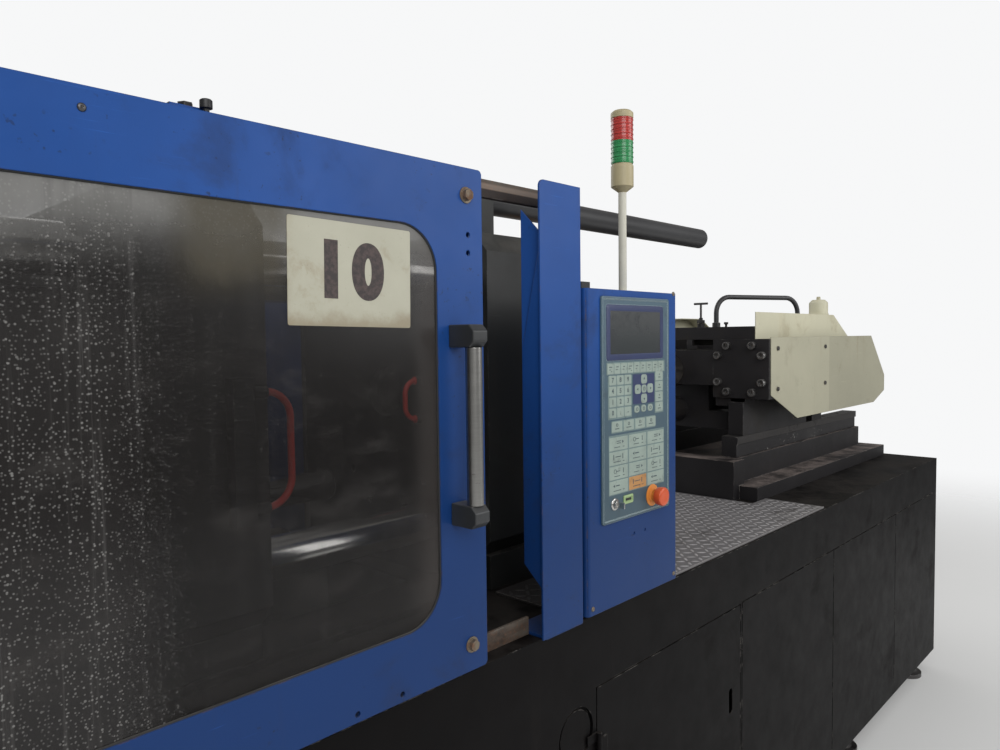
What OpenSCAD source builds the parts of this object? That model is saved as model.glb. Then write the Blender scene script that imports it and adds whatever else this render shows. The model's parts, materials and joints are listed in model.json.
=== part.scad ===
// Horizontal injection moulding machine with a straight hydraulic clamp.
// X runs along the machine towards the injection unit, -Y is the operator's side, Z is up.
// The origin is on the floor, under the middle of the base.

/* [Base] */
// Length of the base along X
base_l = 5240; // [5180:20:5500]
// Width of the base
base_w = 1200; // [1180:10:1260]
// Height of the deck above the floor
deck_z = 950; // [900:10:1020]
// Height of the levelling feet
foot_h = 80; // [60:5:120]
// Thickness of the base's plates
base_wall = 12; // [8:1:16]
// Length of the drop opening under the mould
chute_l = 470; // [380:10:480]
// Width of the drop opening under the mould
chute_w = 360; // [300:10:370]
// Length of the pump bay behind the service doors
bay_l = 1320; // [1300:10:1380]
// Thickness of the tread plate
tread_t = 6; // [4:1:8]

/* [Clamp] */
// Height of the machine's axis above the deck
axis_rise = 430; // [425:5:470]
// Width and height of the square platens
platen_size = 720; // [700:10:740]
// Chamfer on the platens' corners
platen_chamfer = 45; // [20:5:60]
// Distance between the tie bars' axes, across and up
tie_span = 530; // [520:5:540]
// Diameter of a tie bar
tie_d = 80; // [70:1:84]
// Place of the fixed platen's mould face along X
mould_face_x = 10; // [0:1:20]
// Thickness of the fixed platen
fixed_t = 230; // [210:5:240]
// Thickness of the moving platen
moving_t = 220; // [200:5:230]
// Thickness of the tail platen
tail_t = 240; // [220:5:260]
// Open space between the mould faces as the machine stands
daylight = 520; // [480:10:540]
// Distance between the moving platen and the tail platen
rear_space = 770; // [760:10:800]
// Diameter of the clamp ram
ram_d = 260; // [220:5:280]
// Length of the main cylinder behind the tail platen
main_cyl_l = 800; // [790:5:820]
// Outer diameter of the main cylinder
main_cyl_d = 430; // [400:5:440]
// Length of the spacer that holds the ejector
ejector_l = 300; // [290:5:305]
// Diameter of an ejector rod
ejector_rod_d = 30; // [24:1:36]

/* [Safety bar] */
// Diameter of the safety bar
safety_d = 50; // [40:1:52]
// Outer diameter of the safety bar's sleeve
sleeve_d = 62; // [60:1:70]
// Length of the sleeve behind the fixed platen's lug
sleeve_l = 1020; // [980:10:1060]
// Height of the safety bar's axis above the platens
safety_rise = 89; // [85:1:100]
// Distance of the safety bar from the middle plane
safety_y = 240; // [220:5:250]

/* [Gates] */
// Length of a sliding gate
gate_l = 1240; // [1200:10:1260]
// Height of the gates' top above the platens
gate_over = 41; // [38:1:60]
// Depth of a gate's folded edge
gate_t = 40; // [30:1:44]
// Width of the frame round a gate's window
gate_border = 100; // [85:5:120]
// Radius of the window's corners
window_r = 70; // [40:5:80]
// Distance from a gate's outer face to the base's side
gate_proud = 12; // [8:1:20]
// Gap between the front gate and the post as the gate stands
gate_gap = 146; // [120:2:160]
// Thickness of the guards' sheet
sheet_t = 4; // [2:1:5]
// Width of the fixed post panel
post_w = 119; // [100:1:130]
// Length of the grip tube between its blocks
grip_l = 320; // [280:10:340]
// Diameter of the grip tube
grip_d = 27; // [24:1:30]

/* [Console] */
// Width of the operator console
console_w = 337; // [320:1:350]
// Height of the operator console
console_h = 646; // [630:1:660]
// Depth of the operator console
console_d = 112; // [100:1:130]
// Width of the keypad panel
keypad_w = 241; // [236:1:250]
// Height of the keypad panel
keypad_h = 457; // [452:1:470]
// Diameter of the emergency stop button
estop_d = 40; // [36:1:44]
// Diameter of the signal tower
tower_d = 50; // [44:1:54]
// Height of one signal lens
lens_h = 50; // [44:1:56]
// Height of the signal tower's pole
pole_h = 239; // [220:1:250]

/* [Injection unit] */
// Height of the guide rails' top above the deck
rail_rise = 205; // [200:1:210]
// Distance between the guide rails' middles
rail_span = 540; // [520:10:560]
// Width of a guide rail
rail_w = 60; // [50:2:70]
// Place of the injection cylinders' front face along X
head_x = 1350; // [1340:2:1370]
// Side of a square injection cylinder head
head_size = 208; // [196:2:212]
// Distance between the injection cylinders' axes
cyl_span = 568; // [560:2:572]
// Outer diameter of an injection cylinder
cyl_d = 160; // [150:2:170]
// Diameter of a piston rod
rod_d = 60; // [50:1:70]
// Diameter of the barrel
barrel_d = 120; // [110:1:126]
// Diameter of the screw
screw_d = 50; // [44:1:54]
// Distance of the nozzle tip behind the mould face
nozzle_gap = 120; // [110:1:130]
// Length of the nozzle
nozzle_l = 200; // [190:2:210]
// Number of heater bands on the barrel
band_count = 6; // [4:1:6]
// Length of a side cover
cover_l = 1216; // [1180:2:1220]
// Height of a side cover
cover_h = 296; // [290:2:310]
// Length of the hood at its foot
hood_l = 900; // [860:10:940]
// Height of the hood
hood_h = 90; // [80:1:110]
// Half the width of the hood
hood_half = 190; // [184:1:200]
// Diameter of the bent pipe over the hood
pipe_d = 14; // [12:1:18]

/* [Clearances] */
// Gap between sliding flat faces
slide_gap = 0.3; // [0.2:0.1:0.5]
// Radial gap round a sliding rod
rod_gap = 0.3; // [0.2:0.1:0.5]
// Radial gap round a turning shaft
turn_gap = 0.1; // [0.05:0.01:0.1]
// Gap round a door
door_gap = 3; // [2:0.5:5]

/* [Hidden] */
$fn = 48;

base_x = base_l / 2;
base_y = base_w / 2;
axis_z = deck_z + axis_rise;
half = platen_size / 2;
tie = tie_span / 2;
deck_t = 20;
gate_y = base_y + gate_proud;
gate_z = deck_z + 8;
gate_top = axis_z + half + gate_over;
gate_h = gate_top - gate_z;
post_h = gate_h + 15;
fixed_back = mould_face_x + fixed_t;
moving_face = mould_face_x - daylight;
moving_back = moving_face - moving_t;
tail_face = moving_back - rear_space;
tail_back = tail_face - tail_t;
chute_x1 = mould_face_x - 60;
chute_x0 = chute_x1 - chute_l;
chute_floor = foot_h + 70;
chute_roof = deck_z - 300;
bay_x0 = 40;
bay_x1 = bay_x0 + bay_l;
door_w = 640;
door_h = 670;
door_z = foot_h + 50;
door_x0 = bay_x0 + 25;
door_t = 25;
hinge_d = 12;
hinge_zs = [door_z + 70, door_z + door_h - 150];
cab_door_x1 = bay_x1 - 20;
cab_door_x0 = cab_door_x1 - door_w;
cabinet_d = 230;
cabinet_y1 = base_y - 40;
way_h = 15;
way_w = 140;
way_y = half - 100;
foot_d = 120;
foot_xs = [for (i = [-3, -2, -1, 0, 1, 2, 3]) i * (base_x - 160) / 3];
ram_back = tail_back - 310;
nut_d = 150;
nut_l = 85;
flange_back = moving_back - ejector_l;
flange_t = 60;
flange_y = half - 50;
flange_z = tie - tie_d / 2 - 10;
eject_cyl_d = 70;
eject_cyl_y = half - 98;
eject_plate_x = flange_back + 140;
eject_plate_t = 40;
eject_plate_s = 230;
lug_top = half + safety_rise + 36;
lug_x1 = mould_face_x + 110;
pawl_x = mould_face_x - 30;
pawl_z = axis_z + half + safety_rise + 40;
post_x1 = mould_face_x - 2;
post_x0 = post_x1 - post_w;
post_foot_x = post_x0 + 10;
front_gate_x1 = post_x0 - gate_gap;
rear_gate_x1 = post_x0 - 6;
grip_x_in = 62;
grip_z = deck_z + 259;
grip_out = 40;
block_w = 32;
block_h = 36;
rail_t = 12;
rail_y = gate_y - gate_t - 20 - rail_t / 2;
top_rail_z0 = gate_top - 26;
top_rail_z1 = gate_top + 6;
cover_top = top_rail_z0 - 3;
cover_y = gate_y - gate_t - 12;
cover_x1 = tail_face - 15;
cover_x0 = tail_back - main_cyl_l - 70;
console_x = post_x1 + 16;
console_z = deck_z + tread_t;
console_top = console_z + console_h;
keypad_x = console_x + 54;
keypad_z = console_top - 18 - keypad_h;
keypad_t = 5;
estop_x = keypad_x + 172;
estop_z = keypad_z + 38;
lock_x = keypad_x + 32;
lock_z = keypad_z + 41;
tower_x = console_x + 256;
tower_y = -gate_y + 90;
seat_z = axis_z - 150;
rail_top = deck_z + rail_rise;
rail_h = 72;
beam_z = rail_top - rail_h;
beam_h = 118;
ledge_h = 48;
injection_x0 = head_x - 140;
injection_x1 = base_x - 50;
rails_x0 = head_x - 50;
rails_x1 = base_x - 140;
cyl_y = cyl_span / 2;
cyl_z = axis_z + 10;
head_t = 90;
tube_l = 360;
rear_head_x = head_x + head_t + tube_l;
rear_head_x1 = rear_head_x + head_t;
head_top = cyl_z + head_size / 2;
housing_x1 = head_x + 210;
pipe_x1 = head_x + 840;
nozzle_x = mould_face_x + nozzle_gap;
barrel_x = nozzle_x + nozzle_l;
cross_x = rear_head_x1 + 60;
cross_t = 120;
cross_reach = cyl_y + rod_d / 2 + 50;
motor_l = 260;
cover_x = head_x + 10;
cover_face_y = cyl_y + head_size / 2 + slide_gap;
cover_bolt_xs = [head_x + 62, rear_head_x + 49];
cover_bolt_zs = [71, -70];
hood_x = head_x + 300;
hood_z = head_top + slide_gap;
bar_t = 45;
throat_x = head_x + 130;
valve_x = head_x + 40;
valve_y = -110;
bar_x1 = fixed_back + nut_l + 8;
guard_l = 290;
guard_x0 = bar_x1 + 10;
guard_x1 = guard_x0 + guard_l;
guard_half = 175;
guard_pin_y = guard_half + 22;
guard_ear_xs = [guard_x0 - 30, guard_x1 + 10];
guard_z0 = axis_z - 185;
guard_z1 = axis_z + 180;
pump_y = -100;
pump_z = foot_h + 260;
pump_r = 160;
pump_motor_x = bay_x0 + 110;
pump_motor_l = 420;
pump_x = pump_motor_x + pump_motor_l + 60;
hose_d = 12;

// Box between two corners
module block(x, y, z) {
  translate([x[0], y[0], z[0]]) cube([x[1] - x[0], y[1] - y[0], z[1] - z[0]]);
}

// Round bar along X between two places
module bar_x(x, d) {
  translate([x[0], 0, 0]) rotate([0, 90, 0]) cylinder(d = d, h = x[1] - x[0]);
}

// The children on both sides of the middle plane
module both_sides() {
  children();
  mirror([0, 1, 0]) children();
}

// The children at the four tie bars' axes
module at_ties() {
  for (y = [-tie, tie], z = [-tie, tie]) {
    translate([0, y, axis_z + z]) children();
  }
}

// Flat outline with round corners, in the plane of its own size
module round_rect(w, h, r) {
  translate([r, 0]) square([w - 2 * r, h]);
  translate([0, r]) square([w, h - 2 * r]);
  for (x = [r, w - r], y = [r, h - r]) translate([x, y]) circle(r);
}

// Upright plate from a flat outline: the outline's X and Y become X and Z, from y0 to y0 + t
module upright(x, y0, z, t) {
  translate([x, y0 + t, z]) rotate([90, 0, 0]) linear_extrude(t) children();
}

// Knuckle and leaf of a door hinge, on the side of its pin that sign says, from z to z + h
module knuckle(sign, z, h) {
  translate([0, 0, z]) cylinder(d = hinge_d, h = h);
  block([min(0, sign * 34), max(0, sign * 34)], [hinge_d / 2 - 3, hinge_d / 2], [z, z + h]);
}

// The base's two knuckles of each hinge, above and below the door's own
module base_hinges(sign) {
  for (z = hinge_zs) {
    knuckle(sign, z - slide_gap - 18, 18);
    knuckle(sign, z + 40 + slide_gap, 18);
  }
}

module machine_base() {
  inner_y = base_y - base_wall;
  floor_z = foot_h + base_wall;
  roof_z = deck_z - deck_t;
  color("dimgray") {
    difference() {
      block([-base_x, base_x], [-base_y, base_y], [foot_h, deck_z]);
      // Closed hollow under the clamp, round the drop opening
      block([-base_x + base_wall, chute_x0 - base_wall], [-inner_y, inner_y], [floor_z, roof_z]);
      block([chute_x1 + base_wall, bay_x0 - base_wall], [-inner_y, inner_y], [floor_z, roof_z]);
      block([chute_x0 - base_wall - 1, bay_x0 - base_wall], [-inner_y, -chute_w / 2 - base_wall],
        [floor_z, roof_z]);
      block([chute_x0 - base_wall - 1, chute_x1 + base_wall + 1], [chute_w / 2 + base_wall, inner_y],
        [chute_roof + base_wall, roof_z]);
      // Drop opening through the deck, and its way out at the rear
      block([chute_x0, chute_x1], [-chute_w / 2, chute_w / 2], [chute_floor, deck_z + 1]);
      block([chute_x0, chute_x1], [-chute_w / 2, base_y + 1], [chute_floor, chute_roof]);
      // Pump bay, with its front and rear doorways
      block([bay_x0, bay_x1], [-inner_y, inner_y], [floor_z, roof_z]);
      block([door_x0, door_x0 + door_w], [-base_y - 1, 0], [door_z, door_z + door_h]);
      block([cab_door_x0, cab_door_x1], [0, base_y + 1], [door_z, door_z + door_h]);
      // Closed oil tank under the injection unit
      block([bay_x1 + base_wall, base_x - base_wall], [-inner_y, inner_y], [floor_z, roof_z]);
      // Round service port under the front gate
      translate([mould_face_x - 10, -base_y - 1, deck_z - 224]) rotate([-90, 0, 0]) cylinder(d = 108, h = 9);
      // Shadow lines of the fixed lower side panels
      for (x = [door_x0 + door_w + 6 : 660 : base_x - 200]) {
        block([x, x + 4], [-base_y - 1, -base_y + 3], [door_z, door_z + door_h]);
      }
      block([door_x0 + door_w + 6, base_x - 60], [-base_y - 1, -base_y + 3],
        [door_z + door_h, door_z + door_h + 4]);
    }
    // Machined ways for the moving platen
    both_sides() {
      block([tail_face + 20, mould_face_x - 10], [way_y - way_w / 2, way_y + way_w / 2],
        [deck_z - 1, deck_z + way_h]);
    }
    translate([door_x0 + door_gap / 2, -base_y - hinge_d / 2, 0]) base_hinges(-1);
    translate([cab_door_x1 - door_gap / 2, base_y + hinge_d / 2, 0]) rotate(180) base_hinges(-1);
    // Round cover plate in the service port
    translate([mould_face_x - 10, -base_y + 2, deck_z - 224]) rotate([-90, 0, 0]) cylinder(d = 96, h = 8);
  }
}

module levelling_feet() {
  color("gray")
  for (x = foot_xs, y = [-1, 1]) {
    translate([x, y * (base_y - 70), 0]) {
      cylinder(d = foot_d, h = 18);
      translate([0, 0, 18]) cylinder(d1 = foot_d * 0.7, d2 = 44, h = 12);
      cylinder(d = 30, h = foot_h);
      translate([0, 0, foot_h - 22]) cylinder(d = 46, h = 22, $fn = 6);
    }
  }
}

module tread_plate() {
  edge = base_y - 6;
  inner = half + 5;
  color("slategray")
  translate([0, 0, deck_z]) linear_extrude(tread_t)
  polygon([
    [console_x - 6, -edge], [rails_x0, -edge], [rails_x0, -rail_span / 2 - 130],
    [injection_x0 - 10, -rail_span / 2 - 130], [injection_x0 - 10, edge],
    [fixed_back + 5, edge], [fixed_back + 5, -inner], [console_x - 6, -inner]
  ]);
}

// Square platen outline with chamfered corners and the tie bars' holes, across X from x to x + t
module platen(x, t, hole_d) {
  c = platen_chamfer;
  translate([x, 0, axis_z]) rotate([90, 0, 90]) linear_extrude(t) difference() {
    polygon([
      [-half + c, -half], [half - c, -half], [half, -half + c], [half, half - c],
      [half - c, half], [-half + c, half], [-half, half - c], [-half, -half + c]
    ]);
    for (y = [-tie, tie], z = [-tie, tie]) translate([y, z]) circle(d = hole_d);
  }
}

// Four blind tapped holes in a mould face
module mould_holes(x0, depth) {
  for (y = [-1, 1], z = [-1, 1]) {
    translate([x0, y * 140, axis_z + z * 210]) rotate([0, 90, 0]) cylinder(d = 17, h = depth);
    translate([x0, y * 70, axis_z + z * 280]) rotate([0, 90, 0]) cylinder(d = 17, h = depth);
  }
}

module fixed_platen() {
  color("darkslategray") difference() {
    union() {
      platen(mould_face_x, fixed_t, tie_d + 2 * rod_gap);
      both_sides() {
        block([mould_face_x + 20, fixed_back - 20], [way_y - 80, way_y + 80],
          [deck_z, axis_z - half + 5]);
      }
      // Lug that carries the safety bar's sleeve and the pawl's ears
      block([mould_face_x + 10, lug_x1], [-safety_y - 36, -safety_y + 36],
        [axis_z + half - 5, axis_z + lug_top]);
      for (y = [-safety_y - 24, -safety_y + 12]) {
        block([pawl_x - 16, mould_face_x + 12], [y, y + 12], [pawl_z - 16, pawl_z + 16]);
        block([mould_face_x + 2, lug_x1 - 40], [y, y + 12], [pawl_z - 40, pawl_z + 16]);
      }
      // Hinge ears of the purge guard
      for (x = guard_ear_xs) {
        block([x, x + 20], [guard_pin_y - 10, guard_pin_y + 18], [guard_z1 - 12, guard_z1 + 12]);
      }
      block([fixed_back - 1, guard_ear_xs[1] + 20], [guard_pin_y + 10, guard_pin_y + 18],
        [guard_z1 - 30, guard_z1 + 12]);
    }
    // Locating ring seat, nozzle way and its cone
    translate([mould_face_x - 1, 0, axis_z]) rotate([0, 90, 0]) cylinder(d = 125, h = 26);
    translate([mould_face_x, 0, axis_z]) rotate([0, 90, 0]) cylinder(d = 90, h = fixed_t + 1);
    translate([mould_face_x + 90, 0, axis_z]) rotate([0, 90, 0])
      cylinder(d1 = 90, d2 = 220, h = fixed_t - 89);
    mould_holes(mould_face_x - 1, 46);
    // Sleeve and bar way through the lug
    translate([0, -safety_y, axis_z + half + safety_rise]) bar_x([mould_face_x, lug_x1 + 1], safety_d + 2);
    // Pin way of the purge guard's hinge
    translate([0, guard_pin_y, guard_z1])
      bar_x([guard_ear_xs[0] - 1, guard_ear_xs[1] + 21], 12 + 2 * turn_gap);
    // Pawl pin holes in the ears
    translate([pawl_x, -safety_y - 40, pawl_z]) rotate([-90, 0, 0]) cylinder(d = 12 + 2 * turn_gap, h = 80);
  }
}

module tail_platen() {
  color("darkslategray") difference() {
    union() {
      platen(tail_back, tail_t, tie_d + 2 * rod_gap);
      both_sides() {
        block([tail_back + 20, tail_face - 20], [way_y - 80, way_y + 80],
          [deck_z, axis_z - half + 5]);
      }
    }
    translate([tail_back - 1, 0, axis_z]) rotate([0, 90, 0])
      cylinder(d = ram_d + 2 * rod_gap, h = tail_t + 2);
    // Wiper ring recess
    translate([tail_face - 12, 0, axis_z]) rotate([0, 90, 0]) cylinder(d = ram_d + 36, h = 13);
  }
}

module tie_bars() {
  color("silver") at_ties() {
    bar_x([tail_back - nut_l + 2, fixed_back + nut_l - 2], tie_d);
    bar_x([tail_back - nut_l - 8, tail_back - nut_l + 2], tie_d - 14);
    bar_x([fixed_back + nut_l - 2, bar_x1], tie_d - 14);
  }
}

module tie_nut() {
  rotate([0, 90, 0]) difference() {
    union() {
      cylinder(d = nut_d, h = nut_l - 10);
      translate([0, 0, nut_l - 10]) cylinder(d1 = nut_d, d2 = nut_d - 20, h = 10);
    }
    translate([0, 0, -1]) cylinder(d = tie_d + 2 * rod_gap, h = nut_l + 2);
    for (a = [0 : 60 : 300]) {
      rotate(a) translate([nut_d / 2 - 6, -8, 20]) cube([10, 16, nut_l]);
    }
  }
}

module tie_bar_nuts() {
  color("dimgray") at_ties() {
    translate([fixed_back, 0, 0]) tie_nut();
    translate([tail_back, 0, 0]) mirror([1, 0, 0]) tie_nut();
  }
}

module main_cylinder() {
  end = tail_back - main_cyl_l;
  flange_d = main_cyl_d + 120;
  color("darkslategray") {
    translate([0, 0, axis_z]) difference() {
      union() {
        bar_x([end, tail_back], main_cyl_d);
        bar_x([tail_back - 60, tail_back], flange_d);
        bar_x([end - 24, end], main_cyl_d - 60);
        // Port blocks on top
        for (x = [end + 60, end + 440]) {
          block([x, x + 140], [-70, 70], [main_cyl_d / 2 - 60, main_cyl_d / 2 + 16]);
        }
      }
      bar_x([end + 60, tail_back + 1], ram_d + 4);
    }
    // Fixed booster rod inside the hollow ram
    translate([0, 0, axis_z]) bar_x([end + 50, tail_face - 60], 100);
    // Prefill tank on the port blocks
    translate([0, 0, axis_z + main_cyl_d / 2 + 15]) {
      difference() {
        block([end + 50, end + 590], [-170, 170], [0, 118]);
        block([end + 56, end + 584], [-164, 164], [6, 112]);
      }
      translate([end + 130, 0, 117]) cylinder(d = 70, h = 12);
    }
    // Flange screws
    for (a = [15 : 30 : 345]) {
      translate([tail_back - 84, 0, axis_z]) rotate([a, 0, 0]) translate([0, flange_d / 2 - 28, 0])
        bar_x([0, 25], 34);
    }
  }
}

// Fixed panel beside a gate: a folded sheet with a round outer corner and a creased side return.
// Its inner flange reaches in towards the platen by reach
module post(x1, reach) {
  x0 = x1 - post_w;
  z0 = deck_z + 2;
  ret_y = -gate_y + 49;
  color("royalblue") {
    upright(x0, -gate_y, z0, sheet_t) {
      square([post_w, post_h - 12]);
      translate([12, 0]) square([post_w - 12, post_h]);
      translate([12, post_h - 12]) circle(12);
    }
    block([x1 - sheet_t, x1], [-gate_y, -gate_y + reach], [z0, z0 + post_h - 12]);
    // Foot flange bolted to the deck
    block([post_foot_x, x1], [-gate_y + 1, -gate_y + 84], [deck_z, deck_z + 6]);
    // Creased side return: lower sheet and the bent corner over it
    translate([x0 + 4 + sheet_t, 0, 0]) rotate([90, 0, -90]) linear_extrude(sheet_t) {
      polygon([
        [gate_y - 1, z0 + 90], [-ret_y, z0 + 133], [-ret_y, z0 + 533], [gate_y - 1, z0 + 738]
      ]);
    }
    translate([x0 + 4, ret_y, 0]) rotate([0, 0, 14]) rotate([90, 0, 90]) linear_extrude(sheet_t) {
      polygon([[0, z0 + 528], [0, z0 + 790], [-46, z0 + 738]]);
    }
  }
}

// The rear post's flange also closes the gap beside the fixed platen
module gate_posts() {
  post(post_x1, 84);
  mirror([0, 1, 0]) post(post_x1, gate_y - half - 4);
}

module tail_cover() {
  x0 = cover_x0;
  color("royalblue") difference() {
    block([x0, cover_x1], [-cover_y, cover_y], [deck_z, cover_top]);
    block([x0 + sheet_t, cover_x1 + 1], [-cover_y + sheet_t, cover_y - sheet_t],
      [deck_z - 1, cover_top - sheet_t]);
    // Cooling slots in the two sides and the end
    for (i = [0 : 8], x = [x0 + 120, x0 + 480]) {
      block([x, x + 240], [-cover_y - 1, cover_y + 1], [deck_z + 200 + i * 40, deck_z + 214 + i * 40]);
    }
    for (i = [0 : 8]) {
      block([x0 - 1, x0 + sheet_t + 1], [-260, 260], [deck_z + 200 + i * 40, deck_z + 214 + i * 40]);
    }
  }
}

module gate_rails() {
  x0 = cover_x0 + 10;
  color("sienna") both_sides() {
    block([x0, post_x1 - sheet_t], [-rail_y - rail_t / 2, -rail_y + rail_t / 2],
      [top_rail_z0, top_rail_z1]);
    for (x = [x0 + 60, (x0 + cover_x1) / 2, cover_x1 - 60]) {
      block([x, x + 40], [-rail_y - rail_t / 2, -rail_y + rail_t / 2], [cover_top, top_rail_z0 + 1]);
    }
    block([x0, post_foot_x], [-gate_y + gate_t + 4, -gate_y + gate_t + 11], [deck_z, deck_z + 34]);
  }
}

module console_box() {
  r = 10;
  wall = 3;
  color("royalblue") difference() {
    translate([console_x, -gate_y, console_z]) linear_extrude(console_h)
      round_rect(console_w, console_d, r);
    translate([console_x + wall, -gate_y + wall, console_z + wall])
      cube([console_w - 2 * wall, console_d - 2 * wall, console_h - 2 * wall]);
    // Way of the stop button's stem
    translate([estop_x, -gate_y - 1, estop_z]) rotate([-90, 0, 0]) cylinder(d = 23, h = wall + 2);
    // Two small plug holes under the keypad
    for (x = [keypad_x + 108, keypad_x + 150]) {
      translate([x, -gate_y - 1, keypad_z - 34]) rotate([-90, 0, 0]) cylinder(d = 7, h = 3);
    }
  }
  // Lid hinge at the top left corner
  color("black") block([console_x + 12, console_x + 40], [-gate_y + 20, -gate_y + 44],
    [console_top, console_top + 14]);
}

// Raised field of keys: x, z from the keypad's corner, counts, size of one key and its step
module key_field(x, z, nx, nz, w, h, dx, dz) {
  for (i = [0 : nx - 1], j = [0 : nz - 1]) {
    translate([keypad_x + x + i * dx, -gate_y - keypad_t - 1.2, keypad_z + z + j * dz]) cube([w, 3, h]);
  }
}

module keypad_panel() {
  rim = 6;
  color("cadetblue") {
    difference() {
      upright(keypad_x, -gate_y - keypad_t, keypad_z, keypad_t) round_rect(keypad_w, keypad_h, 5);
      block([keypad_x + rim, keypad_x + keypad_w - rim], [-gate_y - keypad_t - 1, -gate_y - keypad_t + 1.5],
        [keypad_z + rim, keypad_z + keypad_h - rim]);
      // Seats of the stop button and of the key lock
      translate([estop_x, -gate_y - keypad_t - 2, estop_z]) rotate([-90, 0, 0]) cylinder(d = 23, h = 9);
      translate([lock_x, -gate_y - keypad_t - 2, lock_z]) rotate([-90, 0, 0]) cylinder(d = 16.4, h = 9);
    }
    // Screen frame
    difference() {
      upright(keypad_x + 12, -gate_y - keypad_t - 2, keypad_z + 337, 4) round_rect(217, 104, 6);
      block([keypad_x + 25, keypad_x + 217], [-gate_y - keypad_t - 3, -gate_y - keypad_t + 0.5],
        [keypad_z + 349, keypad_z + 430]);
    }
  }
  color("gainsboro") {
    key_field(15, 299, 9, 1, 20, 22, 23.5, 0);
    key_field(21, 212, 3, 4, 22, 17, 27, 22);
    key_field(192, 212, 1, 4, 28, 17, 0, 22);
    key_field(110, 216, 3, 1, 20, 14, 25, 0);
    key_field(130, 240, 2, 1, 14, 14, 15, 0);
    key_field(30, 182, 4, 1, 30, 20, 42, 0);
    key_field(21, 56, 3, 4, 60, 26, 70, 32);
    // Rim of the small data port
    block([keypad_x + 64, keypad_x + 96], [-gate_y - keypad_t - 2, -gate_y - keypad_t + 2],
      [keypad_z + 30, keypad_z + 46]);
  }
}

module display_screen() {
  color("darkslateblue") block([keypad_x + 25.5, keypad_x + 216.5],
    [-gate_y - keypad_t - 0.5, -gate_y - keypad_t + 0.5], [keypad_z + 349.5, keypad_z + 429.5]);
}

module at_tower() {
  translate([tower_x, tower_y, console_top]) children();
}

module signal_pole() {
  color("wheat") at_tower() {
    cylinder(d = 18, h = pole_h);
    cylinder(d = 40, h = 8);
    translate([0, 0, pole_h - 12]) cylinder(d1 = 18, d2 = tower_d, h = 12);
    translate([0, 0, pole_h]) cylinder(d = tower_d, h = lens_h - 4);
    translate([0, 0, pole_h + lens_h - 4]) cylinder(d = tower_d - 4, h = 4);
  }
}

// Ribbed cylindrical lens between two collars
module lens(z) {
  at_tower() translate([0, 0, z]) {
    cylinder(d = tower_d - 2, h = lens_h);
    for (i = [0 : 4]) translate([0, 0, 3 + i * (lens_h - 8) / 4]) cylinder(d = tower_d, h = 2);
  }
}

module lens_green() {
  color("green") lens(pole_h + lens_h);
}

module lens_red() {
  color("red") lens(pole_h + 2 * lens_h);
}

module signal_cap() {
  color("wheat") at_tower() translate([0, 0, pole_h + 3 * lens_h]) {
    cylinder(d = tower_d, h = 12);
    translate([0, 0, 12]) cylinder(d1 = tower_d, d2 = tower_d - 12, h = 5);
  }
}

module safety_bar_sleeve() {
  color("dimgray") translate([0, -safety_y, axis_z + half + safety_rise]) difference() {
    bar_x([lug_x1, lug_x1 + sleeve_l], sleeve_d);
    bar_x([lug_x1 - 1, lug_x1 + sleeve_l - 6], safety_d + 2);
    bar_x([lug_x1 + sleeve_l - 7, lug_x1 + sleeve_l + 1], safety_d - 4);
  }
}

module injection_base() {
  outer = rail_span / 2 + rail_w / 2;
  color("dimgray") {
    block([injection_x0 + 40, injection_x1], [-outer - 95, outer + 95], [deck_z, deck_z + ledge_h]);
    block([injection_x0, injection_x0 + 80], [-outer - 30, outer + 30], [deck_z, beam_z]);
    block([rails_x1 - 60, rails_x1 + 20], [-outer, outer], [deck_z + ledge_h - 1, beam_z]);
    both_sides() {
      block([injection_x0 + 1, rails_x1 + 20], [-outer - 6, -outer + rail_w + 8], [deck_z + 1, beam_z]);
    }
  }
}

module injection_rails() {
  out_y = rail_span / 2 + rail_w / 2;
  color("gray") both_sides() {
    difference() {
      block([rails_x0, rails_x1], [-out_y, -out_y + rail_w], [beam_z, rail_top]);
      // Step under the hardened guide strip
      block([rails_x0 - 1, rails_x1 + 1], [-out_y - 1, -out_y + 5], [beam_z - 1, rail_top - 26]);
      // Holes of the rail screws
      for (x = [rails_x0 + 60 : 160 : rails_x1 - 40]) {
        translate([x, -rail_span / 2, rail_top - 14]) cylinder(d = 20, h = 15);
      }
    }
  }
}

module seat_rod() {
  color("silver") translate([0, 0, seat_z]) {
    bar_x([fixed_back + 20, head_x - 120], 40);
    bar_x([fixed_back, fixed_back + 22], 70);
  }
}

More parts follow.
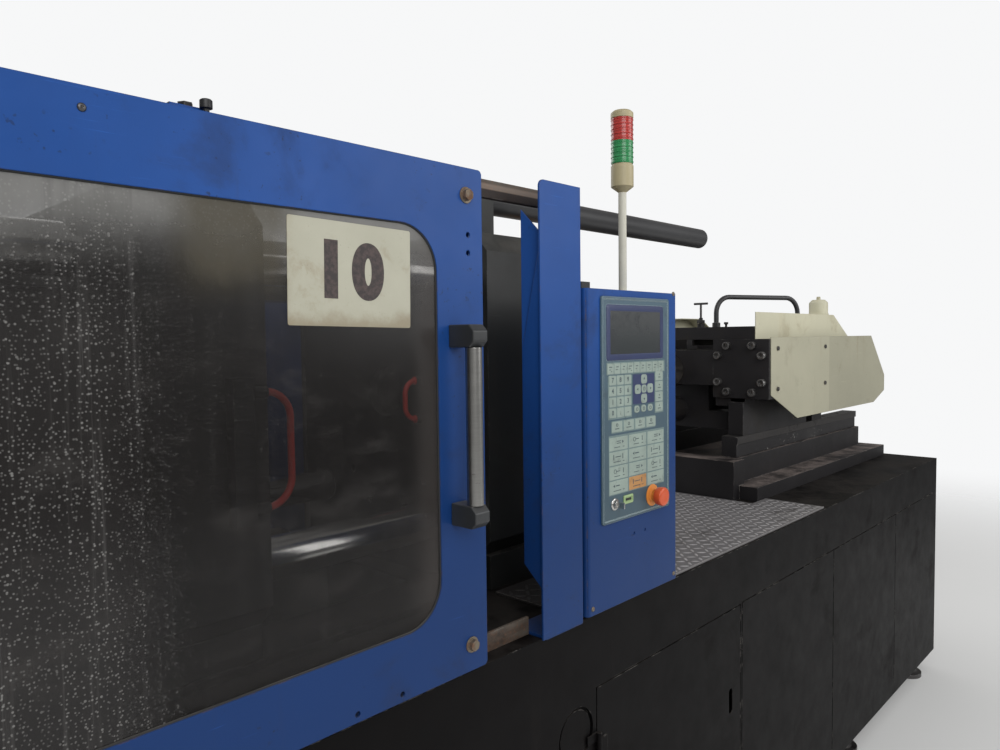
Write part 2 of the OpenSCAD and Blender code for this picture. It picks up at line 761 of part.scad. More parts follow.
// Electric motor, bell housing and oil pump in one line
module pump_set() {
  end = pump_motor_x + pump_motor_l;
  color("steelblue") {
    translate([0, pump_y, pump_z]) {
      bar_x([pump_motor_x, end], 2 * pump_r - 40);
      bar_x([pump_motor_x, pump_motor_x + 30], 2 * pump_r - 10);
      bar_x([end - 26, end], 2 * pump_r - 10);
      // Cooling fins
      for (a = [15 : 15 : 345]) {
        rotate([a, 0, 0]) block([pump_motor_x + 40, end - 40], [0, pump_r - 6], [-3, 3]);
      }
      // Terminal box
      block([pump_motor_x + 150, pump_motor_x + 270], [-60, 60], [pump_r - 30, pump_r + 50]);
      // Bell housing, pump body and its port block
      bar_x([end - 1, pump_x + 1], 200);
      bar_x([pump_x, pump_x + 30], 230);
      bar_x([pump_x + 20, pump_x + 210], 160);
      bar_x([pump_x + 209, pump_x + 240], 120);
      block([pump_x + 90, pump_x + 170], [-45, 45], [0, 110]);
    }
    // Feet of the motor and of the pump's flange
    for (x = [pump_motor_x + 50, end - 110]) {
      block([x, x + 60], [pump_y - 130, pump_y + 130], [foot_h + base_wall, foot_h + base_wall + 20]);
      block([x, x + 60], [pump_y - 90, pump_y + 90], [foot_h + base_wall, pump_z - 110]);
    }
    block([pump_x, pump_x + 30], [pump_y - 100, pump_y + 100], [foot_h + base_wall, pump_z - 50]);
    // Pressure pipe up to the deck
    translate([pump_x + 130, pump_y, pump_z + 105]) cylinder(d = 42, h = deck_z - deck_t - pump_z - 105);
  }
}

module control_cabinet() {
  x0 = cab_door_x0 + 15;
  x1 = cab_door_x1 - 15;
  y0 = cabinet_y1 - cabinet_d;
  z0 = door_z + 6;
  z1 = door_z + door_h - 6;
  color("lightgray") {
    difference() {
      block([x0, x1], [y0, cabinet_y1], [z0, z1]);
      block([x0 + 3, x1 - 3], [y0 + 3, cabinet_y1 + 1], [z0 + 3, z1 - 3]);
    }
    // Rows of switching modules on their rails
    for (z = [z0 + 110, z0 + 290, z0 + 470]) {
      block([x0 + 40, x1 - 40], [y0 + 2, y0 + 12], [z - 4, z + 31]);
      for (x = [x0 + 60 : 64 : x1 - 110]) {
        block([x, x + 54], [y0 + 11, y0 + 62], [z - 26, z + 56]);
      }
    }
    // Feet to the bay's floor
    for (x = [x0, x1 - 40]) {
      block([x, x + 40], [y0, y0 + 60], [foot_h + base_wall, z0 + 1]);
    }
  }
}

// Sliding gate: a folded sheet with a round-cornered window, hung from its rail by two shoes
module gate_frame(x1) {
  x0 = x1 - gate_l;
  lip = 22;
  color("royalblue") {
    upright(x0, -gate_y, gate_z, sheet_t) difference() {
      round_rect(gate_l, gate_h, 8);
      translate([gate_border, gate_border])
        round_rect(gate_l - 2 * gate_border, gate_h - 2 * gate_border, window_r);
      // Spare screw holes
      for (p = [[32, gate_h - 107], [32, gate_h - 136], [183, 12], [265, 12]]) {
        translate([gate_l - p[0], p[1]]) circle(d = 9);
      }
    }
    upright(x0, -gate_y, gate_z, gate_t) difference() {
      round_rect(gate_l, gate_h, 8);
      translate([sheet_t, sheet_t]) round_rect(gate_l - 2 * sheet_t, gate_h - 2 * sheet_t, 6);
    }
    // Folded lip along the back of the outer edge
    upright(x0, -gate_y + gate_t - sheet_t, gate_z, sheet_t) difference() {
      round_rect(gate_l, gate_h, 8);
      translate([lip, lip]) square([gate_l - 2 * lip, gate_h - 2 * lip]);
    }
    // Stiffening channels beside the window
    for (x = [x0 + gate_border - 34, x1 - gate_border + 30]) {
      block([x, x + sheet_t], [-gate_y + 1, -gate_y + gate_t - 6], [gate_z + lip + 20, gate_top - lip - 20]);
    }
  }
  color("black") for (x = [x0 + 180, x1 - 490]) gate_shoe(x);
}

// Shoe that straddles the top rail
module gate_shoe(x) {
  y0 = -gate_y + gate_t;
  in0 = -rail_y - rail_t / 2 - slide_gap - 0.2;
  in1 = -rail_y + rail_t / 2 + slide_gap + 0.2;
  block([x, x + 50], [y0, in0], [top_rail_z0 + 6, top_rail_z1 + 8]);
  block([x, x + 50], [in1, in1 + 10], [top_rail_z0 + 6, top_rail_z1 + 8]);
  block([x, x + 50], [y0, in1 + 10], [top_rail_z1 + slide_gap, top_rail_z1 + 9]);
  translate([x + 25, y0 + 12, top_rail_z1 + 8]) cylinder(d = 19, h = 7, $fn = 6);
}

module gate_window(x1) {
  over = 20;
  color([0.2, 0.2, 0.2, 0.7])
  upright(x1 - gate_l + gate_border - over, -gate_y + sheet_t, gate_z + gate_border - over, 6)
    round_rect(gate_l - 2 * (gate_border - over), gate_h - 2 * (gate_border - over), window_r);
}

module grip_blocks(x1) {
  for (z = [grip_z, grip_z + grip_l - block_h]) {
    translate([x1 - grip_x_in - block_w / 2, -gate_y, z]) rotate([90, 0, 90]) linear_extrude(block_w)
      polygon([
        [0, 0], [-grip_out - 6, 0], [-grip_out - 16, 10], [-grip_out - 16, block_h - 10],
        [-grip_out - 6, block_h], [0, block_h]
      ]);
  }
}

module grip_tube(x1) {
  translate([x1 - grip_x_in, -gate_y - grip_out, grip_z + block_h])
    cylinder(d = grip_d, h = grip_l - 2 * block_h);
}

module front_gate_frame() {
  gate_frame(front_gate_x1);
}

module front_gate_window() {
  gate_window(front_gate_x1);
}

module front_gate_grip() {
  color("silver") grip_tube(front_gate_x1);
}

module front_gate_grip_blocks() {
  color("black") grip_blocks(front_gate_x1);
}

module front_gate_bolts() {
  color("peru")
  for (p = [[36, gate_h - 44], [36, 44], [gate_l - 36, gate_h - 44], [gate_l - 36, 44]]) {
    translate([front_gate_x1 - p[0], -gate_y, gate_z + p[1]]) rotate([90, 0, 0]) {
      cylinder(d = 26, h = 2);
      cylinder(d = 20, h = 9, $fn = 6);
    }
  }
}

module notice_card() {
  color("beige") translate([front_gate_x1 - 363, -gate_y + sheet_t - 1, gate_top - 257]) cube([210, 1, 148]);
}

module rear_gate_frame() {
  mirror([0, 1, 0]) gate_frame(rear_gate_x1);
}

module rear_gate_window() {
  mirror([0, 1, 0]) gate_window(rear_gate_x1);
}

module rear_gate_handle() {
  color("black") mirror([0, 1, 0]) {
    grip_blocks(rear_gate_x1);
    grip_tube(rear_gate_x1);
  }
}

module moving_platen() {
  lug_x = moving_back + 70;
  color("darkslategray") difference() {
    union() {
      platen(moving_back, moving_t, tie_d + 2 * rod_gap);
      both_sides() {
        block([moving_back - 30, moving_face], [way_y - 62, way_y + 62],
          [deck_z + way_h + slide_gap, axis_z - half + 5]);
      }
      // Guide bushes round the tie bars
      at_ties() bar_x([moving_back - 40, moving_back + 1], tie_d + 44);
      // Lug that holds the safety bar
      block([lug_x, lug_x + 80], [-safety_y - 32, -safety_y + 32],
        [axis_z + half - 5, axis_z + lug_top]);
    }
    at_ties() bar_x([moving_back - 41, moving_back + 10], tie_d + 2 * rod_gap);
    mould_holes(moving_face - 45, 46);
    for (y = [-70, 0, 70]) {
      translate([0, y, axis_z]) bar_x([moving_back - 1, moving_face + 1], ejector_rod_d + 1);
    }
    translate([0, -safety_y, axis_z + half + safety_rise])
      bar_x([lug_x - 1, lug_x + 81], safety_d + 2 * rod_gap);
  }
}

module clamp_ram() {
  color("silver") translate([0, 0, axis_z]) difference() {
    bar_x([ram_back, flange_back], ram_d);
    bar_x([ram_back - 1, flange_back - 60], 150);
  }
}

module ejector_housing() {
  leg = 70;
  color("darkslategray") {
    difference() {
      block([flange_back, flange_back + flange_t], [-flange_y, flange_y],
        [axis_z - flange_z, axis_z + flange_z]);
      for (y = [-eject_cyl_y, eject_cyl_y]) {
        translate([0, y, axis_z]) bar_x([flange_back - 1, flange_back + flange_t + 1], eject_cyl_d);
      }
    }
    for (y = [-1, 1], z = [-1, 1]) {
      block([flange_back + flange_t - 1, moving_back], [y * 150 - leg / 2, y * 150 + leg / 2],
        [axis_z + z * (flange_z - leg / 2) - leg / 2, axis_z + z * (flange_z - leg / 2) + leg / 2]);
    }
    // Ejector cylinders in the flange
    for (y = [-eject_cyl_y, eject_cyl_y]) translate([0, y, axis_z]) difference() {
      bar_x([flange_back - 28, flange_back + 128], eject_cyl_d);
      bar_x([flange_back - 10, flange_back + 129], ejector_rod_d + 2 * rod_gap);
    }
  }
}

module safety_bar() {
  x0 = moving_back + 70;
  x1 = mould_face_x + 540;
  color("silver") translate([0, -safety_y, axis_z + half + safety_rise]) difference() {
    bar_x([x0, x1], safety_d);
    // Catch grooves along the bar
    for (x = [x0 + 160 : 45 : x1 - 60]) {
      translate([x, 0, 0]) rotate([0, 90, 0]) difference() {
        cylinder(d = safety_d + 2, h = 16);
        translate([0, 0, -1]) cylinder(d = safety_d - 14, h = 18);
      }
    }
  }
}

// Quarter bend of a round hose or pipe in its own XY plane, about the origin
module quarter(r, d) {
  rotate_extrude(angle = 90) translate([r, 0]) circle(d = d, $fn = 24);
}

module platen_hose() {
  r = 45;
  top = axis_z + 45;
  low = axis_z - 145;
  x = moving_face - 12;
  color("firebrick") translate([0, -half - 14, 0]) {
    translate([x, 0, top - r]) rotate([90, 0, 0]) quarter(r, hose_d);
    translate([x, 0, low + r]) mirror([0, 0, 1]) rotate([90, 0, 0]) quarter(r, hose_d);
    translate([x + r, 0, low + r]) cylinder(d = hose_d, h = top - low - 2 * r, $fn = 24);
  }
  // Fittings and the block that carries them
  color("goldenrod") translate([0, -half - 14, 0]) {
    for (z = [low, top]) translate([0, 0, z]) bar_x([x - 26, x + 2], 20);
    block([x - 60, x - 24], [-11, 14], [low - 24, top + 24]);
  }
}

// Short coolant loop on the fixed platen's mould face
module fixed_hose() {
  r = 30;
  top = axis_z + 30;
  low = axis_z - 60;
  x = mould_face_x - 12;
  y = -130;
  color("firebrick") translate([0, y, 0]) {
    translate([x, 0, top - r]) mirror([1, 0, 0]) rotate([90, 0, 0]) quarter(r, hose_d);
    translate([x, 0, low + r]) mirror([0, 0, 1]) mirror([1, 0, 0]) rotate([90, 0, 0]) quarter(r, hose_d);
    translate([x - r, 0, low + r]) cylinder(d = hose_d, h = top - low - 2 * r, $fn = 24);
  }
  color("goldenrod") for (z = [low, top]) {
    translate([0, y, z]) bar_x([x - 2, mould_face_x], 20);
  }
}

module ejector_plate() {
  color("gray") {
    block([eject_plate_x, eject_plate_x + eject_plate_t], [-eject_plate_s / 2, eject_plate_s / 2],
      [axis_z - eject_plate_s / 2, axis_z + eject_plate_s / 2]);
    block([eject_plate_x + 5, eject_plate_x + 35], [-eject_cyl_y - 30, eject_cyl_y + 30],
      [axis_z - 30, axis_z + 30]);
    for (y = [-70, 0, 70]) {
      translate([0, y, axis_z]) bar_x([eject_plate_x + eject_plate_t - 1, moving_face - 2], ejector_rod_d);
    }
    for (y = [-eject_cyl_y, eject_cyl_y]) {
      translate([0, y, axis_z]) bar_x([flange_back + 10, eject_plate_x + 6], ejector_rod_d);
    }
  }
}

module carriage_frame() {
  in_y = rail_span / 2 - rail_w / 2 + 5;
  out_y = rail_span / 2 + rail_w / 2;
  head_z = cyl_z - head_size / 2;
  wing = cyl_y - head_size / 2;
  color("dimgray") {
    both_sides() {
      block([head_x - 10, rear_head_x1 + 10], [in_y, out_y], [rail_top + slide_gap, rail_top + beam_h]);
      for (x = [head_x + 10, rear_head_x + 10]) {
        block([x, x + 70], [in_y, out_y], [rail_top + beam_h - 1, head_z]);
      }
    }
    for (x = [head_x + 60, rear_head_x]) {
      block([x, x + head_t], [-in_y - 1, in_y + 1], [rail_top + 10, rail_top + 75]);
    }
    difference() {
      union() {
        block([head_x + 60, housing_x1 - 40], [-wing + 50, wing - 50], [rail_top + 10, axis_z - 50]);
        block([head_x, housing_x1], [-wing, wing], [axis_z - 51, axis_z + 76]);
      }
      translate([0, 0, axis_z]) bar_x([head_x - 11, housing_x1 + 1], barrel_d + 2 * turn_gap);
      translate([throat_x, 0, axis_z]) cylinder(d = 60, h = 100);
    }
    // Seat cylinder under the barrel
    translate([0, 0, seat_z]) difference() {
      union() {
        bar_x([head_x - 350, head_x + 61], 90);
        bar_x([head_x - 350, head_x - 320], 104);
      }
      bar_x([head_x - 351, head_x - 30], 40 + 2 * rod_gap);
    }
  }
}

module barrel() {
  color("slategray") translate([0, 0, axis_z]) difference() {
    union() {
      bar_x([barrel_x + 60, housing_x1], barrel_d);
      bar_x([barrel_x, barrel_x + 60], barrel_d + 14);
    }
    bar_x([barrel_x - 1, housing_x1 + 1], screw_d + 2 * rod_gap);
    translate([throat_x, 0, 0]) cylinder(d = 50, h = barrel_d);
    for (a = [0 : 60 : 300]) rotate([a, 0, 0]) {
      translate([0, barrel_d / 2 - 3, 0]) bar_x([barrel_x - 1, barrel_x + 14], 12);
    }
  }
}

module heater_bands() {
  first = barrel_x + 80;
  step = (head_x - 40 - first) / band_count;
  color("lightslategray") for (i = [0 : band_count - 1]) translate([first + i * step, 0, axis_z]) {
    difference() {
      union() {
        bar_x([0, step - 34], barrel_d + 28);
        block([8, step - 42], [-9, 9], [-barrel_d / 2 - 34, -barrel_d / 2 - 4]);
        block([14, 58], [-20, 20], [barrel_d / 2 + 4, barrel_d / 2 + 40]);
      }
      bar_x([-1, step], barrel_d + 0.6);
      block([-1, step], [-2, 2], [-barrel_d, 0]);
    }
  }
}

module nozzle() {
  color("slategray") translate([nozzle_x, 0, axis_z]) rotate([0, 90, 0]) rotate_extrude()
  polygon([
    [4, 4], [10, 0], [16, 3], [24, 40], [24, nozzle_l - 90], [36, nozzle_l - 60],
    [46, nozzle_l - 30], [46, nozzle_l], [12, nozzle_l], [12, nozzle_l - 40], [4, 60]
  ]);
}

module injection_cylinder() {
  translate([0, 0, cyl_z]) difference() {
    union() {
      for (x = [head_x, rear_head_x]) {
        block([x, x + head_t], [-head_size / 2, head_size / 2], [-head_size / 2, head_size / 2]);
      }
      bar_x([head_x + head_t - 1, rear_head_x + 1], cyl_d);
    }
    bar_x([head_x + head_t - 20, rear_head_x], cyl_d - 50);
    bar_x([rear_head_x - 1, rear_head_x1 + 1], rod_d + 2 * rod_gap);
    // Tapped holes of the side cover
    for (x = cover_bolt_xs, z = cover_bolt_zs) {
      translate([x, -head_size / 2 - 1, z]) rotate([-90, 0, 0]) cylinder(d = 9, h = 21);
    }
  }
}

module injection_cylinders() {
  color("dimgray") both_sides() translate([0, -cyl_y, 0]) injection_cylinder();
}

// Socket-head screw whose head stands out towards -X
module socket_screw(d, h) {
  rotate([0, -90, 0]) difference() {
    cylinder(d = d, h = h);
    translate([0, 0, h - 9]) cylinder(d = d * 0.62, h = 10, $fn = 6);
  }
}

module cylinder_head_bolts() {
  color("dimgray") for (y = [-cyl_y, cyl_y], a = [22.5 : 45 : 337.5]) {
    translate([head_x, y, cyl_z]) rotate([a, 0, 0]) translate([0, 86, 0]) socket_screw(27, 20);
  }
}

module hopper_plate() {
  top = head_top + bar_t;
  reach = cyl_y + 53;
  color("dimgray") {
    difference() {
      translate([head_x + 4, 0, head_top]) rotate([90, 0, 90]) linear_extrude(hood_x - 40 - head_x)
        polygon([[-reach, 0], [reach, 0], [reach, bar_t - 10], [reach - 10, bar_t],
          [-reach + 10, bar_t], [-reach, bar_t - 10]]);
      // Throat and the hopper's four screw holes
      translate([throat_x, 0, head_top - 1]) cylinder(d = 60, h = bar_t + 2);
      for (x = [-55, 55], y = [-55, 55]) translate([throat_x + x, y, top - 25]) cylinder(d = 8.5, h = 26);
    }
    // Valve body and grease nipple on the plate
    translate([valve_x, valve_y, top - 1]) {
      cylinder(d = 26, h = 14);
      cylinder(d = 14, h = 36);
      translate([0, 0, 16]) cylinder(d = 28, h = 12, $fn = 6);
    }
    translate([valve_x, valve_y - 100, top - 1]) {
      cylinder(d = 8, h = 12);
      translate([0, 0, 10]) cylinder(d = 15, h = 8);
    }
  }
}

module side_cover() {
  low = cyl_z + 110 - cover_h;
  top = cyl_z + 110;
  t = 2.5;
  color("wheat") translate([0, -cover_face_y, 0]) {
    difference() {
      translate([cover_x, 0, 0]) rotate([90, 0, 0]) linear_extrude(t) polygon([
        [0, top], [cover_l - 186, top], [cover_l, top - 180], [cover_l, top - 250],
        [cover_l - 146, low], [226, low], [2, top - 200]
      ]);
      for (x = cover_bolt_xs, z = cover_bolt_zs) {
        translate([x, 1, cyl_z + z]) rotate([90, 0, 0]) cylinder(d = 10, h = t + 2);
      }
    }
    // Folded top and bottom edges
    block([cover_x + 60 + 2 * head_t, cover_x + cover_l - 188], [-t, 14], [top - t, top]);
    block([cover_x + 228, cover_x + cover_l - 148], [-t, 14], [low, low + t]);
  }
  // Screws of the cover
  color("black") for (x = cover_bolt_xs, z = cover_bolt_zs) {
    translate([x, -cover_face_y - t, cyl_z + z]) rotate([90, 0, 0]) cylinder(d = 15, h = 5);
  }
}

module side_covers() {
  both_sides() side_cover();
}

module hood() {
  t = 3;
  color("wheat") {
    difference() {
      translate([hood_x, hood_half, hood_z]) rotate([90, 0, 0]) linear_extrude(2 * hood_half)
        polygon([[0, 0], [hood_l, 0], [hood_l - 70, hood_h], [0, hood_h]]);
      translate([hood_x, hood_half - t, hood_z]) rotate([90, 0, 0]) linear_extrude(2 * (hood_half - t))
        polygon([[t, -1], [hood_l - t, -1], [hood_l - 70 - t, hood_h - t], [t, hood_h - t]]);
    }
    // Breather can on the hood
    translate([hood_x + hood_l - 230, -100, hood_z + hood_h]) {
      cylinder(d = 92, h = 6);
      cylinder(d = 84, h = 52);
      translate([0, 0, 52]) cylinder(d1 = 84, d2 = 60, h = 10);
      translate([0, 0, 62]) cylinder(d = 16, h = 12);
    }
  }
}

module bent_pipe() {
  r = 60;
  x0 = housing_x1 - 30;
  x1 = pipe_x1;
  z0 = head_top + bar_t;
  z1 = hood_z + hood_h;
  top = z1 + 62;
  color("dimgray") translate([0, -90, 0]) {
    translate([x0, 0, z0]) cylinder(d = 26, h = 16, $fn = 6);
    translate([x0, 0, z0 + 10]) cylinder(d = pipe_d, h = top - r - z0 - 10, $fn = 24);
    translate([x0 + r, 0, top - r]) mirror([1, 0, 0]) rotate([90, 0, 0]) quarter(r, pipe_d);
    translate([0, 0, top]) bar_x([x0 + r, x1 - r], pipe_d);
    translate([x1 - r, 0, top - r]) rotate([90, 0, 0]) quarter(r, pipe_d);
    translate([x1, 0, z1 + slide_gap]) cylinder(d = 26, h = 8);
  }
}

module crosshead() {
  in_y = rail_span / 2 - rail_w / 2 + 5;
  out_y = rail_span / 2 + rail_w / 2;
  color("dimgray") {
    difference() {
      union() {
        block([cross_x, cross_x + cross_t], [-cross_reach, cross_reach], [cyl_z - 80, cyl_z + 80]);
        both_sides() {
          block([cross_x + 10, cross_x + cross_t - 10], [in_y, out_y], [rail_top + slide_gap, cyl_z - 79]);
        }
      }
      translate([0, 0, axis_z]) bar_x([cross_x - 1, cross_x + cross_t + 1], 46 + 2 * turn_gap);
    }
  }
  // Piston rods and pistons
  color("silver") for (y = [-cyl_y, cyl_y]) translate([0, y, cyl_z]) {
    bar_x([head_x + head_t + 20, cross_x + 1], rod_d);
    bar_x([head_x + head_t, head_x + head_t + 50], cyl_d - 52);
  }
}

module hydraulic_motor() {
  x = cross_x + cross_t;
  color("gray") translate([0, 0, axis_z]) {
    bar_x([x, x + 26], 200);
    bar_x([x + 25, x + motor_l - 50], 176);
    bar_x([x + motor_l - 60, x + motor_l - 20], 196);
    bar_x([x + motor_l - 21, x + motor_l], 90);
    block([x + 70, x + 160], [-50, 50], [60, 100]);
    for (a = [0 : 72 : 288]) rotate([a, 0, 0]) translate([0, 0, 86]) rotate([0, 90, 0]) {
      translate([0, 0, x + motor_l - 120]) cylinder(d = 20, h = 104);
    }
  }
}

module screw() {
  x0 = barrel_x + 30;
  x1 = housing_x1 - 20;
  pitch = screw_d;
  turns = floor((x1 - x0 - 70) / pitch);
  color("silver") translate([0, 0, axis_z]) {
    translate([x0, 0, 0]) rotate([0, 90, 0]) cylinder(d1 = 8, d2 = screw_d - 12, h = 50);
    bar_x([x0 + 49, x1], screw_d - 14);
    bar_x([x1 - 1, cross_x + cross_t - 8], 46);
    // Flight
    translate([x0 + 50, 0, 0]) rotate([0, 90, 0])
      linear_extrude(turns * pitch, twist = -360 * turns, slices = 10 * turns, $fn = 5)
      polygon([[0, -5], [screw_d / 2 - 0.6, -4], [screw_d / 2, 0], [screw_d / 2 - 0.6, 4], [0, 5]]);
  }
}

// Purge guard: a lid and an operator's side sheet, hinged along its rear top edge
module purge_guard() {
  x0 = guard_x0;
  x1 = guard_x1;
  color("orange") {
    difference() {
      block([x0, x1], [-guard_half, guard_half + 10], [guard_z1 - 3, guard_z1]);
      block([x0 + 40, x1 - 40], [-guard_half + 60, guard_half - 60], [guard_z1 - 4, guard_z1 + 1]);
    }
    difference() {
      block([x0, x1], [-guard_half, -guard_half + 3], [guard_z0, guard_z1]);
      block([x0 + 50, x1 - 50], [-guard_half - 1, -guard_half + 4], [guard_z0 + 90, guard_z1 - 90]);
    }
    for (x = [x0 + 24, x1 - 44]) {
      block([x, x + 20], [guard_half + 8, guard_pin_y], [guard_z1 - 6, guard_z1]);
    }
    translate([0, guard_pin_y, guard_z1]) bar_x([guard_ear_xs[0] + 2, guard_ear_xs[1] + 18], 12);
  }
}

module estop_button() {
  color("orangered") translate([estop_x, -gate_y - keypad_t + 1, estop_z]) rotate([90, 0, 0]) {
    translate([0, 0, -5]) cylinder(d = 22, h = 22);
    translate([0, 0, 14]) cylinder(d1 = 30, d2 = estop_d, h = 6);
    translate([0, 0, 20]) cylinder(d = estop_d, h = 8);
    translate([0, 0, 28]) cylinder(d1 = estop_d, d2 = estop_d - 10, h = 4);
  }
}

module key_switch() {
  color("silver") translate([lock_x, -gate_y - keypad_t + 1, lock_z]) rotate([90, 0, 0]) {
    translate([0, 0, -4]) cylinder(d = 16, h = 12);
    translate([-1.5, -7, 7]) cube([3, 14, 18]);
  }
}

module valve_handle() {
  top = head_top + bar_t;
  color("dimgray") translate([valve_x, valve_y, top + 35]) {
    cylinder(d = 8, h = 54);
    translate([0, 0, 52]) rotate([90, 0, 0]) translate([0, 0, -27]) cylinder(d = 8, h = 54);
  }
}

module safety_pawl() {
  crest = axis_z + half + safety_rise + safety_d / 2 + slide_gap;
  color("goldenrod") {
    translate([pawl_x, -safety_y - 24, pawl_z]) rotate([-90, 0, 0]) cylinder(d = 12, h = 48);
    translate([0, -safety_y + 8, 0]) rotate([90, 0, 0]) linear_extrude(16) polygon([
      [pawl_x - 14, pawl_z + 12], [pawl_x + 14, pawl_z + 12], [pawl_x + 8, pawl_z - 9],
      [pawl_x - 66, crest], [pawl_x - 80, crest], [pawl_x - 80, crest + 16]
    ]);
  }
}

module service_door() {
  x0 = door_x0 + door_gap;
  w = door_w - 2 * door_gap;
  z0 = door_z + door_gap;
  h = door_h - 2 * door_gap;
  color("dimgray") {
    difference() {
      block([x0, x0 + w], [-base_y, -base_y + door_t], [z0, z0 + h]);
      block([x0 + 3, x0 + w - 3], [-base_y + 3, -base_y + door_t + 1], [z0 + 3, z0 + h - 3]);
      // Latch slot
      upright(x0 + w - 62, -base_y - 1, z0 + 392, 5) round_rect(18, 66, 8);
    }
    translate([door_x0 + door_gap / 2, -base_y - hinge_d / 2, 0]) for (z = hinge_zs) knuckle(1, z, 40);
  }
}

module cabinet_door() {
  x0 = cab_door_x0 + door_gap;
  w = door_w - 2 * door_gap;
  z0 = door_z + door_gap;
  h = door_h - 2 * door_gap;
  color("dimgray") {
    difference() {
      block([x0, x0 + w], [base_y - door_t, base_y], [z0, z0 + h]);
      block([x0 + 3, x0 + w - 3], [base_y - door_t - 1, base_y - 3], [z0 + 3, z0 + h - 3]);
      // Ventilation slots
      for (i = [0 : 5]) {
        block([x0 + 180, x0 + w - 180], [base_y - 4, base_y + 1], [z0 + 60 + i * 24, z0 + 68 + i * 24]);
      }
    }
    // Latch
    block([x0 + 30, x0 + 50], [base_y - 1, base_y + 10], [z0 + h / 2 - 50, z0 + h / 2 + 50]);
    translate([cab_door_x1 - door_gap / 2, base_y + hinge_d / 2, 0]) rotate(180)
      for (z = hinge_zs) knuckle(1, z, 40);
  }
}

machine_base();
levelling_feet();
tread_plate();
fixed_platen();
tail_platen();
tie_bars();
tie_bar_nuts();
main_cylinder();
gate_posts();
tail_cover();
gate_rails();
console_box();
keypad_panel();
display_screen();
signal_pole();
lens_green();
lens_red();
signal_cap();
safety_bar_sleeve();
injection_base();
injection_rails();
seat_rod();
pump_set();
control_cabinet();
front_gate_frame();
front_gate_window();
front_gate_grip();
front_gate_grip_blocks();
front_gate_bolts();
notice_card();
rear_gate_frame();
rear_gate_window();
rear_gate_handle();
moving_platen();
clamp_ram();
ejector_housing();
safety_bar();
platen_hose();
fixed_hose();
ejector_plate();
carriage_frame();
barrel();
heater_bands();
nozzle();
injection_cylinders();
cylinder_head_bolts();
hopper_plate();
side_covers();
hood();
bent_pipe();
crosshead();
hydraulic_motor();
screw();
purge_guard();
estop_button();
key_switch();
valve_handle();
safety_pawl();
service_door();
cabinet_door();
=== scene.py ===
"""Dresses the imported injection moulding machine: finishes, small fittings, floor, light and camera."""

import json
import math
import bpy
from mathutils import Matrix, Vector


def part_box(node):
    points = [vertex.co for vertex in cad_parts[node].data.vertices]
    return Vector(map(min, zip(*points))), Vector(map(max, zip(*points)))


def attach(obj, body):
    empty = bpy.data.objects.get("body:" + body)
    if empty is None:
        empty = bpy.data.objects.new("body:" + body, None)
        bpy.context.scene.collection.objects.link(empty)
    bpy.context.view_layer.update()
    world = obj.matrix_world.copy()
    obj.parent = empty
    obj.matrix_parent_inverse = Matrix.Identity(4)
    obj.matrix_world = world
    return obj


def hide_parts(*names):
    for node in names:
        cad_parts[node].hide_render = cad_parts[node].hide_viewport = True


bl_info = {
    "name": "Injection Moulding Machine Dressing",
    "version": (1, 0, 0),
    "blender": (4, 5, 0),
    "location": "View3D > Sidebar > Moulding Machine",
    "description": "Finishes, small fittings and studio for a horizontal injection moulding machine",
    "category": "Object",
}

import bmesh
import bpy
from bpy.props import FloatProperty, FloatVectorProperty, PointerProperty
from mathutils import Matrix, Vector

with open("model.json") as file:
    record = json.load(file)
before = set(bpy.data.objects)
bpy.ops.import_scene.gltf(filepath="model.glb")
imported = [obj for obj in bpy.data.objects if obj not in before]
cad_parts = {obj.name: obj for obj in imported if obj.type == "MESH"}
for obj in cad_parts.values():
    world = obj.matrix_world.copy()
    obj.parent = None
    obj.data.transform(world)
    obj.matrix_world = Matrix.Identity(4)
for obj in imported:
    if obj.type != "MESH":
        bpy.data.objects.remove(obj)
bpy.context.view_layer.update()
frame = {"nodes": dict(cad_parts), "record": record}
NODES = frame["nodes"]
BODY_OF = {node: body for body, nodes in frame["record"]["behaviour"]["bodies"].items() for node in nodes}


# Sizes and colours that a user would change


def colour_property(name, description, default):
    return FloatVectorProperty(name=name, description=description, default=default, size=3,
                               min=0.0, max=1.0, subtype="COLOR")


class MachineColours(bpy.types.PropertyGroup):
    """Base colours of the machine's finishes."""

    enamel: colour_property("Gate Enamel", "Blue enamel of the gates, posts and console",
                            (0.013, 0.066, 0.262))
    base: colour_property("Base Paint", "Near-black paint of the base", (0.0032, 0.0027, 0.0029))
    casting: colour_property("Casting Paint", "Black paint of the injection unit",
                             (0.0185, 0.0172, 0.0185))
    platen: colour_property("Platen Paint", "Grey paint of the platens", (0.020, 0.021, 0.020))
    cover: colour_property("Cover Paint", "Cream paint of the covers and the hood", (0.400, 0.385, 0.285))
    keypad: colour_property("Keypad Film", "Blue-grey film of the keypad", (0.052, 0.092, 0.130))
    key: colour_property("Key Print", "Pale print of the keys", (0.285, 0.350, 0.310))
    stop: colour_property("Stop Button", "Moulded cap of the emergency stop", (0.600, 0.080, 0.016))
    green: colour_property("Green Lens", "Green lens of the signal tower", (0.030, 0.250, 0.085))
    red: colour_property("Red Lens", "Red lens of the signal tower", (0.430, 0.040, 0.032))
    rust: colour_property("Rust", "Rust on bare steel", (0.120, 0.052, 0.024))
    floor: colour_property("Floor", "Plain pale floor", (0.80, 0.80, 0.79))


